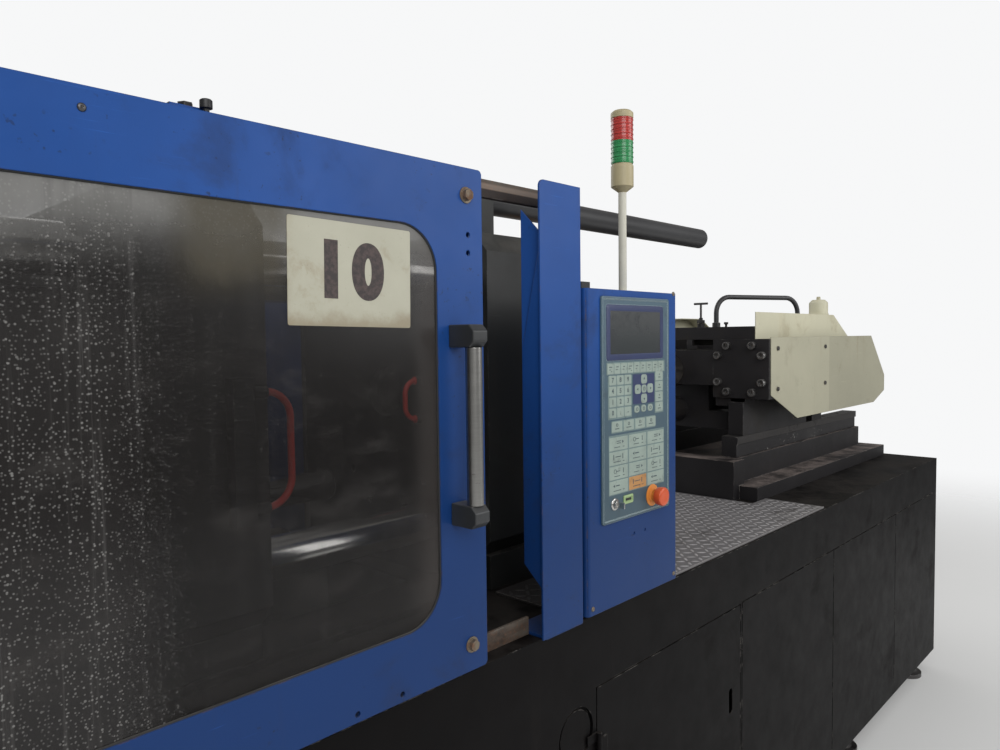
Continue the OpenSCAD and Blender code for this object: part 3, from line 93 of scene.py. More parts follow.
class MachineSizes(bpy.types.PropertyGroup):
    """Sizes of the machine's small fittings."""

    edge_round: FloatProperty(name="Edge Round", description="Round on machined and sheet edges",
                              default=0.0012, min=0.0002, max=0.004, unit="LENGTH")
    fold_round: FloatProperty(name="Fold Round", description="Round on the folded outer edges of the gates",
                              default=0.005, min=0.001, max=0.007, unit="LENGTH")
    wear: FloatProperty(name="Wear", description="Share of worn and dirty paint", default=1.0,
                        min=0.0, max=2.0, subtype="FACTOR")
    lug_pitch: FloatProperty(name="Lug Pitch", description="Step of the tread plate's lugs",
                             default=0.026, min=0.018, max=0.06, unit="LENGTH")
    lug_length: FloatProperty(name="Lug Length", description="Length of a tread lug",
                              default=0.027, min=0.01, max=0.05, unit="LENGTH")
    lug_width: FloatProperty(name="Lug Width", description="Width of a tread lug",
                             default=0.0085, min=0.003, max=0.02, unit="LENGTH")
    lug_height: FloatProperty(name="Lug Height", description="Height of a tread lug",
                              default=0.0016, min=0.0005, max=0.003, unit="LENGTH")


def colours():
    return bpy.context.scene.machine_colours


def sizes():
    return bpy.context.scene.machine_sizes


def shade(colour, factor):
    return tuple(min(1.0, part * factor) for part in colour[:3])


# Node trees


class Net:
    """Adds and joins nodes in one node tree."""

    def __init__(self, tree):
        self.tree = tree

    def add(self, kind, inputs=None, **settings):
        node = self.tree.nodes.new(kind)
        for key, value in settings.items():
            setattr(node, key, value)
        for key, value in (inputs or {}).items():
            self.feed(node.inputs[key], value)
        return node

    def feed(self, socket, value):
        if isinstance(value, bpy.types.NodeSocket):
            self.tree.links.new(value, socket)
        elif hasattr(value, "__len__") and socket.type == "RGBA" and len(value) == 3:
            socket.default_value = (*value, 1.0)
        else:
            socket.default_value = value

    def math(self, operation, a, b=0.0, clamp=True):
        return self.add("ShaderNodeMath", {0: a, 1: b}, operation=operation, use_clamp=clamp).outputs[0]

    def times(self, *values):
        result = values[0]
        for value in values[1:]:
            result = self.math("MULTIPLY", result, value)
        return result

    def greatest(self, *values):
        result = values[0]
        for value in values[1:]:
            result = self.math("MAXIMUM", result, value)
        return result

    def blend(self, share, a, b):
        return self.add("ShaderNodeMix", {0: share, 6: a, 7: b}, data_type="RGBA").outputs[2]

    def layers(self, tint, *coats):
        """Lays coats of mask, share and colour over the tint, one after another."""
        for mask, share, colour in coats:
            tint = self.blend(self.times(mask, share), tint, colour)
        return tint

    def step(self, value, low, high):
        """0 below low, 1 above high, and smooth between them; low above high turns it round."""
        return self.add("ShaderNodeMapRange", {"Value": value, "From Min": low, "From Max": high},
                        interpolation_type="SMOOTHSTEP").outputs[0]

    def remap(self, value, low, high):
        return self.add("ShaderNodeMapRange", {"Value": value, "To Min": low, "To Max": high}).outputs[0]

    def stretch(self, vector, factors):
        return self.add("ShaderNodeVectorMath", {0: vector, 1: factors}, operation="MULTIPLY").outputs[0]

    def noise(self, vector, scale, detail=4.0, roughness=0.55, distortion=0.0):
        return self.add("ShaderNodeTexNoise", {"Vector": vector, "Scale": scale, "Detail": detail,
                                               "Roughness": roughness, "Distortion": distortion}).outputs[0]

    def cells(self, vector, scale):
        return self.add("ShaderNodeTexVoronoi", {"Vector": vector, "Scale": scale},
                        voronoi_dimensions="2D").outputs

    def place(self):
        return self.add("ShaderNodeTexCoord").outputs["Object"]

    def axes(self, vector=None):
        return self.add("ShaderNodeSeparateXYZ", {0: vector or self.place()}).outputs

    def vector(self, **parts):
        """Vector of the parts x, y and z that are given, with 0 for the others."""
        inputs = {axis.upper(): value for axis, value in parts.items()}
        return self.add("ShaderNodeCombineXYZ", inputs).outputs[0]

    def band(self, value, low, high, soft):
        """1 between low and high, with soft edges."""
        return self.times(self.step(value, low - soft, low + soft),
                          self.step(value, high + soft, high - soft))

    def bump(self, height, strength, distance=0.001, normal=None):
        inputs = {"Height": height, "Strength": strength, "Distance": distance}
        if normal is not None:
            inputs["Normal"] = normal
        return self.add("ShaderNodeBump", inputs).outputs[0]

    def group(self, name, **values):
        node = self.tree.nodes.new("ShaderNodeGroup")
        node.node_tree = bpy.data.node_groups.get(name) or SURFACE_EFFECTS[name](name)
        for key, value in values.items():
            self.feed(node.inputs[key], value)
        return node.outputs

    def grime(self, scale=1.0):
        return self.group("Shop Grime", Scale=scale)

    def edge(self, radius, breakup):
        return self.group("Worn Edge", Radius=radius, Breakup=breakup)

    def dust(self, amount):
        return self.group("Settled Dust", Amount=amount)["Mask"]

    def grain(self, scale):
        return self.group("Fine Grain", Scale=scale)


class Finish(Net):
    """A material's node tree, with the shader that its surface ends in."""

    def __init__(self, name="finish"):
        self.material = bpy.data.materials.new(name)
        self.material.use_nodes = True
        super().__init__(self.material.node_tree)
        self.tree.nodes.clear()
        self.shader = self.add("ShaderNodeBsdfPrincipled")
        self.add("ShaderNodeOutputMaterial", {0: self.shader.outputs[0]})

    def surface(self, joined, fixed=None):
        """Joins values that vary to the shader's sockets, sets its constants, and gives the material."""
        for label, value in joined.items():
            self.feed(self.shader.inputs[label], value)
        for label, value in (fixed or {}).items():
            self.shader.inputs[label].default_value = value
        return self.material


def effect_group(name, inputs, outputs):
    """An empty shader group with its named sockets."""
    tree = bpy.data.node_groups.new(name, "ShaderNodeTree")
    for label, default in inputs.items():
        socket = tree.interface.new_socket(name=label, in_out="INPUT", socket_type="NodeSocketFloat")
        socket.default_value = default
    for label, kind in outputs.items():
        tree.interface.new_socket(name=label, in_out="OUTPUT", socket_type="NodeSocket" + kind)
    return Net(tree), tree.nodes.new("NodeGroupInput").outputs, tree.nodes.new("NodeGroupOutput").inputs


def grime_effect(name):
    """Soft stains, small specks, run marks and fine scratches."""
    masks = dict.fromkeys(("Stain", "Speck", "Run", "Scratch", "Cloud"), "Float")
    net, start, end = effect_group(name, {"Scale": 1.0}, masks)
    place = net.add("ShaderNodeVectorMath", {0: net.place(), "Scale": start["Scale"]},
                    operation="SCALE").outputs[0]
    cloud = net.noise(place, 2.3, 5.0, 0.6)
    falls = net.stretch(place, (26.0, 26.0, 1.6))
    skew = net.add("ShaderNodeMapping", {"Vector": place, "Rotation": (0.4, 0.9, 0.3),
                                         "Scale": (7.0, 90.0, 150.0)}).outputs[0]
    net.feed(end["Stain"], net.step(net.noise(place, 5.5, 6.0, 0.66, 0.4), 0.54, 0.72))
    net.feed(end["Speck"], net.times(net.step(net.noise(place, 120.0, 2.0, 0.5), 0.66, 0.73),
                                     net.step(net.noise(place, 11.0, 3.0), 0.48, 0.62)))
    net.feed(end["Run"], net.times(net.step(net.noise(falls, 1.0, 4.0, 0.6), 0.58, 0.74),
                                   net.step(cloud, 0.42, 0.62)))
    net.feed(end["Scratch"], net.times(net.step(net.noise(skew, 1.6, 3.0, 0.5, 0.3), 0.66, 0.70),
                                       net.step(net.noise(place, 7.0, 3.0), 0.50, 0.64)))
    net.feed(end["Cloud"], cloud)
    return net.tree


def edge_effect(name):
    """Rounded normal at edges, and a broken mask along them, for paint worn off the edges and, on the keypad
    film, for a painted highlight.
    """
    net, start, end = effect_group(name, {"Radius": 0.002, "Breakup": 0.5},
                                   {"Mask": "Float", "Normal": "Vector"})
    rounded = net.add("ShaderNodeBevel", {"Radius": start["Radius"]}, samples=4).outputs[0]
    facing = net.add("ShaderNodeNewGeometry").outputs["Normal"]
    cosine = net.add("ShaderNodeVectorMath", {0: rounded, 1: facing},
                     operation="DOT_PRODUCT").outputs["Value"]
    broken = net.step(net.noise(net.place(), 34.0, 5.0, 0.65), start["Breakup"],
                      net.math("ADD", start["Breakup"], 0.12))
    net.feed(end["Mask"], net.times(net.step(cosine, 0.995, 0.90), broken))
    net.feed(end["Normal"], rounded)
    return net.tree


def dust_effect(name):
    """Dust that lies on faces turned up, thicker in clouds."""
    net, start, end = effect_group(name, {"Amount": 0.5}, {"Mask": "Float"})
    up = net.axes(net.add("ShaderNodeNewGeometry").outputs["True Normal"])[2]
    cloud = net.step(net.noise(net.place(), 9.0, 6.0, 0.7), 0.30, 0.70)
    net.feed(end["Mask"], net.times(net.step(up, 0.55, 0.95), cloud, start["Amount"]))
    return net.tree


def grain_effect(name):
    """Fine uneven surface of sprayed paint, cast metal or moulded plastic."""
    net, start, end = effect_group(name, {"Scale": 400.0}, {"Height": "Float", "Gloss": "Float"})
    place = net.place()
    net.feed(end["Height"], net.noise(place, start["Scale"], 3.0, 0.55))
    net.feed(end["Gloss"], net.noise(place, 14.0, 5.0, 0.65))
    return net.tree


SURFACE_EFFECTS = {"Shop Grime": grime_effect, "Worn Edge": edge_effect, "Settled Dust": dust_effect,
                   "Fine Grain": grain_effect}


# Finishes


def painted(colour, rough=0.42, dirt=(0.022, 0.018, 0.014), bare=(0.17, 0.155, 0.14), stain=0.35, run=0.25,
            scratch=0.35, speck=0.3, wear=0.6, dust=0.35, dust_colour=(0.20, 0.185, 0.165), grain=0.25,
            grain_scale=420.0, scale=1.0, radius=0.0022, tone=0.16, low_dark=0.0, mirror=0.5, crease=None):
    """Sprayed enamel with stains, runs, scratches, dust and worn edges; where asked, painted shade darkens
    it low down, and past a fold line given by its X, with a painted shadow line along the fold.
    """
    net = Finish()
    grime, edge = net.grime(scale), net.edge(radius, 0.50)
    dusty, grains = net.dust(dust), net.grain(grain_scale)
    level = sizes().wear
    tint = net.blend(net.step(grime["Cloud"], 0.25, 0.75), shade(colour, 1 - tone), shade(colour, 1 + tone))
    # Painted shade: the enamel darkens towards the bottom, where less light falls from above.
    if low_dark:
        tint = net.layers(tint, (net.step(net.axes()[2], 1.70, 1.05), low_dark, shade(colour, 0.42)))
    # Painted shade: past the fold the cover turns a little darker, as if bent away from the light, and a
    # painted shadow line in the dirt colour runs along the fold.
    if crease is not None:
        along = net.axes()[0]
        tint = net.layers(tint, (net.step(along, crease, crease + 0.003), 0.16, shade(colour, 0.12)),
                          (net.band(along, crease - 0.001, crease + 0.001, 0.0008), 0.45, dirt))
    tint = net.layers(tint, (grime["Stain"], stain * level, dirt),
                      (grime["Run"], run * level, shade(dirt, 1.6)),
                      (grime["Scratch"], scratch * level, shade(colour, 2.1)),
                      (grime["Speck"], speck * level, shade(dirt, 0.8)), (dusty, 1.0, dust_colour),
                      (edge["Mask"], wear * level, bare))
    gloss = net.math("ADD", net.remap(grains["Gloss"], rough - 0.10, rough + 0.14), net.times(dusty, 0.35))
    gloss = net.math("ADD", gloss, net.times(grime["Stain"], 0.10))
    relief = net.math("ADD", net.times(grains["Height"], 0.5), net.times(grime["Scratch"], 0.4))
    return net.surface({"Base Color": tint, "Roughness": gloss,
                        "Normal": net.bump(relief, grain, 0.0006, edge["Normal"])},
                       {"Specular IOR Level": mirror})


def bare_metal(colour, rough=0.3, brush=(1.0, 1.0, 1.0), brush_strength=0.12, stain=0.3,
               dirt=(0.035, 0.028, 0.022), rust=0.0, dust=0.2, scale=1.0, spots=0.3):
    """Bare or plated metal with brush marks, oil film, specks and a little rust."""
    net = Finish()
    place = net.place()
    grime, edge, dusty = net.grime(scale), net.edge(0.0015, 0.45), net.dust(dust)
    marks = net.noise(net.stretch(place, brush), 60.0, 3.0, 0.6)
    film = net.times(grime["Stain"], stain)
    rusty = net.times(net.step(net.noise(place, 18.0, 6.0, 0.7), 0.62 - 0.25 * rust, 0.74 - 0.2 * rust),
                      min(1.0, rust * 1.6))
    red = net.blend(net.noise(place, 90.0, 3.0), shade(colours().rust, 0.6), shade(colours().rust, 1.5))
    tint = net.layers(net.blend(marks, shade(colour, 0.82), shade(colour, 1.12)), (film, 1.0, dirt),
                      (grime["Speck"], spots, shade(dirt, 0.7)), (rusty, 1.0, red),
                      (dusty, 1.0, (0.21, 0.19, 0.17)), (edge["Mask"], 0.5, shade(colour, 1.35)))
    cover = net.greatest(film, rusty, dusty)
    worn = net.remap(marks, rough - 0.08, rough + 0.10)
    relief = net.math("ADD", net.times(marks, 0.5), net.times(rusty, 0.5))
    return net.surface({"Base Color": tint, "Metallic": net.remap(cover, 1.0, 0.1),
                        "Roughness": net.math("ADD", worn, net.times(cover, 0.45)),
                        "Normal": net.bump(relief, brush_strength, 0.0005, edge["Normal"])})


def moulded(colour, rough=0.38, coat=0.0, stain=0.15, tone=0.08, dust=0.15):
    """Moulded plastic or rubber with a faint grain, handling marks and dust."""
    net = Finish()
    grime, edge, dusty, grains = net.grime(2.0), net.edge(0.0012, 0.48), net.dust(dust), net.grain(900.0)
    tint = net.blend(net.step(grime["Cloud"], 0.3, 0.7), shade(colour, 1 - tone), shade(colour, 1 + tone))
    tint = net.layers(tint, (grime["Stain"], stain, shade(colour, 0.35)),
                      (edge["Mask"], 0.35, shade(colour, 1.5)), (dusty, 1.0, (0.26, 0.24, 0.22)))
    gloss = net.math("ADD", net.remap(grains["Gloss"], rough - 0.08, rough + 0.10), net.times(dusty, 0.3))
    return net.surface({"Base Color": tint, "Roughness": gloss,
                        "Normal": net.bump(grains["Height"], 0.12, 0.0004, edge["Normal"])},
                       {"Coat Weight": coat, "Coat Roughness": 0.12})


def rail_rust():
    """Rust-brown top rail with oily patches and worn edges; a painted highlight makes its upper half pale,
    and painted shadow makes it near black below.
    """
    net = Finish()
    place = net.place()
    edge, grime = net.edge(0.003, 0.45), net.grime(3.0)
    cloud = net.noise(net.stretch(place, (0.5, 3.0, 3.0)), 8.0, 6.0, 0.7)
    fine = net.noise(place, 160.0, 4.0, 0.6)
    height = net.axes(place)[2]
    red = colours().rust
    tint = net.layers(net.blend(net.step(cloud, 0.32, 0.68), shade(red, 0.40), (0.105, 0.088, 0.072)),
                      (net.step(fine, 0.5, 0.7), 0.5, shade(red, 1.4)),
                      (grime["Stain"], 0.7, (0.02, 0.017, 0.015)),
                      # Painted highlight along the rail's upper half, and painted shadow below it.
                      (net.band(height, 1.770, 1.780, 0.002), 0.40, (0.330, 0.255, 0.205)),
                      (net.band(height, 1.740, 1.770, 0.001), 0.85, (0.018, 0.013, 0.012)),
                      (edge["Mask"], 0.7, (0.33, 0.30, 0.27)))
    relief = net.math("ADD", net.times(fine, 0.5), net.times(cloud, 0.5))
    return net.surface({"Base Color": tint, "Metallic": net.remap(edge["Mask"], 0.15, 0.8),
                        "Roughness": net.remap(cloud, 0.5, 0.85),
                        "Normal": net.bump(relief, 0.45, 0.0012, edge["Normal"])})


def smoky_pane(cover, front):
    """Scratched smoky sheet: see-through where it is clean, grey, streaked and spotted where it is dirty."""
    net = Finish()
    place = net.place()
    across, _, up = net.axes(place)
    grime = net.grime(1.6)
    side = net.math("ADD", across, 1.0, False)
    ragged = net.noise(net.stretch(place, (3.0, 3.0, 1.0)), 3.0, 5.0, 0.6)
    up_ragged = net.math("ADD", up, net.times(ragged, 0.09), False)
    haze = net.step(up_ragged, 1.620, 1.715)
    veil = net.times(net.step(up, 1.30, 1.66), 0.35)
    wet = net.remap(net.band(side, -0.120, 0.215, 0.060), 0.20, 1.0) if front else 0.25
    falls = net.noise(net.stretch(place, (75.0, 75.0, 2.2)), 1.0, 4.0, 0.65)
    chains = net.remap(net.step(falls, 0.40, 0.58), 0.45, 1.0)
    flat = net.vector(x=across, y=up)
    drops, dots = net.cells(flat, 120.0), net.cells(flat, 205.0)
    chance = net.axes(drops["Color"])[0]
    large = net.step(net.math("SUBTRACT", drops["Distance"], net.times(chance, chance, 0.17)), 0.035, 0.0)
    large = net.times(large, net.step(chance, 0.52, 0.80))
    kept = net.step(net.axes(dots["Color"])[1], 0.42, 0.55)
    small = net.times(net.step(dots["Distance"], 0.27, 0.17), kept)
    splash = net.times(net.greatest(large, net.times(small, 0.7)), chains, wet)
    running = net.times(net.step(falls, 0.48, 0.72), net.math("MULTIPLY", wet, 0.75))
    if front:
        patch = net.times(net.band(side, 0.245, 0.390, 0.030), net.step(up_ragged, 1.590, 1.655))
        rim = net.times(net.step(side, 0.575, 0.640), 0.45)
        # Low at its left end the front pane turns nearly opaque, showing its dark tint.
        dark_low_left = net.times(net.step(side, 0.30, 0.14), net.step(up, 1.66, 1.50), 0.97)
    else:
        patch = net.times(net.step(net.noise(place, 9.0, 6.0, 0.68), 0.56, 0.70), net.step(up, 1.50, 1.66))
        rim, dark_low_left = 0.0, 0.0
    patch = net.times(patch, net.remap(net.noise(place, 26.0, 5.0, 0.7), 0.55, 1.0))
    smear = net.noise(net.stretch(place, (4.0, 4.0, 9.0)), 2.2, 5.0, 0.65)
    smear = net.times(net.step(smear, 0.50, 0.75), 0.40)
    fog = net.blend(net.noise(place, 7.0, 6.0, 0.7), (0.135, 0.132, 0.124), (0.270, 0.268, 0.258))
    tint = net.layers(net.blend(grime["Cloud"], (0.008, 0.007, 0.007), (0.020, 0.018, 0.017)),
                      (veil, 0.7, (0.060, 0.058, 0.056)), (haze, 0.85, fog),
                      (smear, 0.55, (0.070, 0.064, 0.060)),
                      (rim, 1.0, (0.090, 0.078, 0.072)), (patch, 0.95, (0.066, 0.055, 0.032)),
                      (running, 0.5, (0.085, 0.081, 0.078)), (splash, 0.65, (0.25, 0.245, 0.235)))
    dirty = net.greatest(haze, splash, smear, running, patch, rim, veil)
    clouded = net.remap(dirty, cover, min(1.0, cover + 0.42))
    return net.surface({"Base Color": tint, "Alpha": net.greatest(clouded, dark_low_left),
                        "Roughness": net.remap(dirty, 0.10, 0.60), "Normal": net.bump(large, 0.06, 0.0005)},
                       {"IOR": 1.49, "Specular IOR Level": 0.35})


def tread_steel():
    """Worn steel tread plate: bright on the lugs, dark and oily between them, and darker towards the fixed
    platen.
    """
    net = Finish()
    place = net.place()
    along, _, height = net.axes(place)
    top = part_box("tread_plate")[1].z
    raised = net.step(net.math("SUBTRACT", height, top, False), 0.0002, 0.0010)
    grime, edge = net.grime(2.2), net.edge(0.0015, 0.40)
    fine = net.noise(place, 240.0, 4.0, 0.6)
    worn = net.step(net.noise(place, 6.0, 5.0, 0.65), 0.35, 0.62)
    tint = net.layers(net.blend(fine, (0.120, 0.113, 0.114), (0.27, 0.26, 0.265)),
                      (raised, net.remap(worn, 0.35, 1.0), (0.80, 0.78, 0.79)),
                      (grime["Stain"], 0.6, (0.030, 0.024, 0.021)),
                      (net.step(along, 0.34, 0.22), 0.85, (0.024, 0.020, 0.018)),
                      (edge["Mask"], 0.6, (0.50, 0.47, 0.44)))
    return net.surface({"Base Color": tint, "Metallic": net.remap(net.times(raised, worn), 0.25, 0.85),
                        "Roughness": net.remap(fine, 0.38, 0.62),
                        "Normal": net.bump(fine, 0.3, 0.0006, edge["Normal"])})


def notice_paper():
    """Old paper under film, browned at its corners."""
    net = Finish()
    place = net.place()
    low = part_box("notice_card")[0]
    across, _, up = net.axes(place)
    grime = net.grime(4.0)
    ragged = net.times(net.noise(place, 22.0, 5.0, 0.65), 0.05)
    foot = net.step(net.math("ADD", net.math("SUBTRACT", up, low.z, False), ragged), 0.052, 0.026)
    left = net.step(net.math("ADD", net.math("SUBTRACT", across, low.x, False), ragged), 0.045, 0.022)
    tint = net.layers(net.blend(net.noise(place, 12.0, 6.0, 0.6), (0.36, 0.35, 0.27), (0.47, 0.46, 0.37)),
                      (foot, 0.6, (0.20, 0.145, 0.075)), (left, 0.35, (0.24, 0.18, 0.10)),
                      (grime["Stain"], 0.4, (0.25, 0.19, 0.11)), (grime["Speck"], 0.5, (0.12, 0.08, 0.05)))
    return net.surface({"Base Color": tint, "Roughness": net.remap(net.noise(place, 40.0, 3.0), 0.5, 0.75),
                        "Normal": net.bump(net.noise(place, 60.0, 4.0), 0.25, 0.0008)},
                       {"Coat Weight": 0.15, "Coat Roughness": 0.3})


def faded_ink():
    """Printed ink, thin and broken."""
    net = Finish()
    broken = net.step(net.noise(net.place(), 130.0, 5.0, 0.7), 0.35, 0.60)
    return net.surface({"Base Color": net.blend(broken, (0.085, 0.062, 0.058), (0.034, 0.025, 0.025)),
                        "Roughness": net.remap(broken, 0.7, 0.5)})


def keypad_film():
    """Printed film with a fine texture; painted light makes it lighter towards its top, and a painted
    highlight runs along its raised rim.
    """
    net = Finish()
    grime, grains, edge = net.grime(5.0), net.grain(1400.0), net.edge(0.0022, 0.28)
    base = colours().keypad
    # Painted light and shade: the film is lighter towards its top and darker low down, as light falls from
    # above.
    tint = net.layers(net.blend(net.step(net.axes()[2], 1.15, 1.60), shade(base, 0.80), shade(base, 1.20)),
                      (grime["Cloud"], 0.35, (0.085, 0.150, 0.150)),
                      (grime["Stain"], 0.35, (0.035, 0.045, 0.050)),
                      # Painted highlight along the film's raised rim.
                      (edge["Mask"], 0.90, (0.38, 0.47, 0.47)))
    return net.surface({"Base Color": tint, "Roughness": net.remap(grains["Gloss"], 0.30, 0.52),
                        "Normal": net.bump(grains["Height"], 0.10, 0.0003, edge["Normal"])})


def key_print(colour):
    """Pale printed key of the film, greyed by fingers."""
    net = Finish()
    place = net.place()
    grime, edge = net.grime(8.0), net.edge(0.0008, 0.40)
    fine = net.noise(place, 420.0, 4.0, 0.6)
    tint = net.layers(net.blend(net.noise(place, 35.0, 4.0, 0.6), shade(colour, 0.72), shade(colour, 1.18)),
                      (grime["Stain"], 0.5, shade(colour, 0.35)), (edge["Mask"], 0.4, shade(colour, 1.4)))
    return net.surface({"Base Color": tint, "Roughness": net.remap(fine, 0.34, 0.55),
                        "Normal": net.bump(fine, 0.12, 0.0003, edge["Normal"])})


def display_glass():
    """Unlit liquid-crystal glass, dusty and finger-marked."""
    net = Finish()
    place = net.place()
    cloud = net.noise(place, 16.0, 5.0, 0.65)
    low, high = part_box("display_screen")
    # Painted light: the glass is paler towards its top.
    fall = net.step(net.axes(place)[2], low.z, high.z)
    tint = net.blend(fall, (0.026, 0.032, 0.034), (0.062, 0.066, 0.068))
    tint = net.blend(net.step(cloud, 0.45, 0.75), tint, (0.026, 0.030, 0.034))
    return net.surface({"Base Color": tint, "Roughness": net.remap(cloud, 0.08, 0.30)},
                       {"Coat Weight": 0.6, "Coat Roughness": 0.08})


def signal_lens(colour):
    """Ribbed lens of the signal tower, dusty clear plastic over a dark core."""
    net = Finish()
    grime, edge = net.grime(5.0), net.edge(0.001, 0.4)
    rib = net.math("SINE", net.math("MULTIPLY", net.axes()[2], 900.0, False), 0.0, False)
    # Painted light and shade: the lens turns lighter and darker in stripes along its ribs.
    tint = net.layers(net.blend(net.remap(rib, 0.2, 0.8), shade(colour, 0.75), shade(colour, 1.35)),
                      (grime["Stain"], 0.3, shade(colour, 0.4)), (edge["Mask"], 0.3, shade(colour, 1.8)))
    return net.surface({"Base Color": tint, "Roughness": net.remap(grime["Cloud"], 0.12, 0.34),
                        "Normal": net.bump(net.remap(rib, 0.0, 1.0), 0.3, 0.0008, edge["Normal"])},
                       {"Subsurface Weight": 0.25, "Subsurface Radius": (0.02, 0.02, 0.02),
                        "Subsurface Scale": 0.3, "Coat Weight": 0.3})


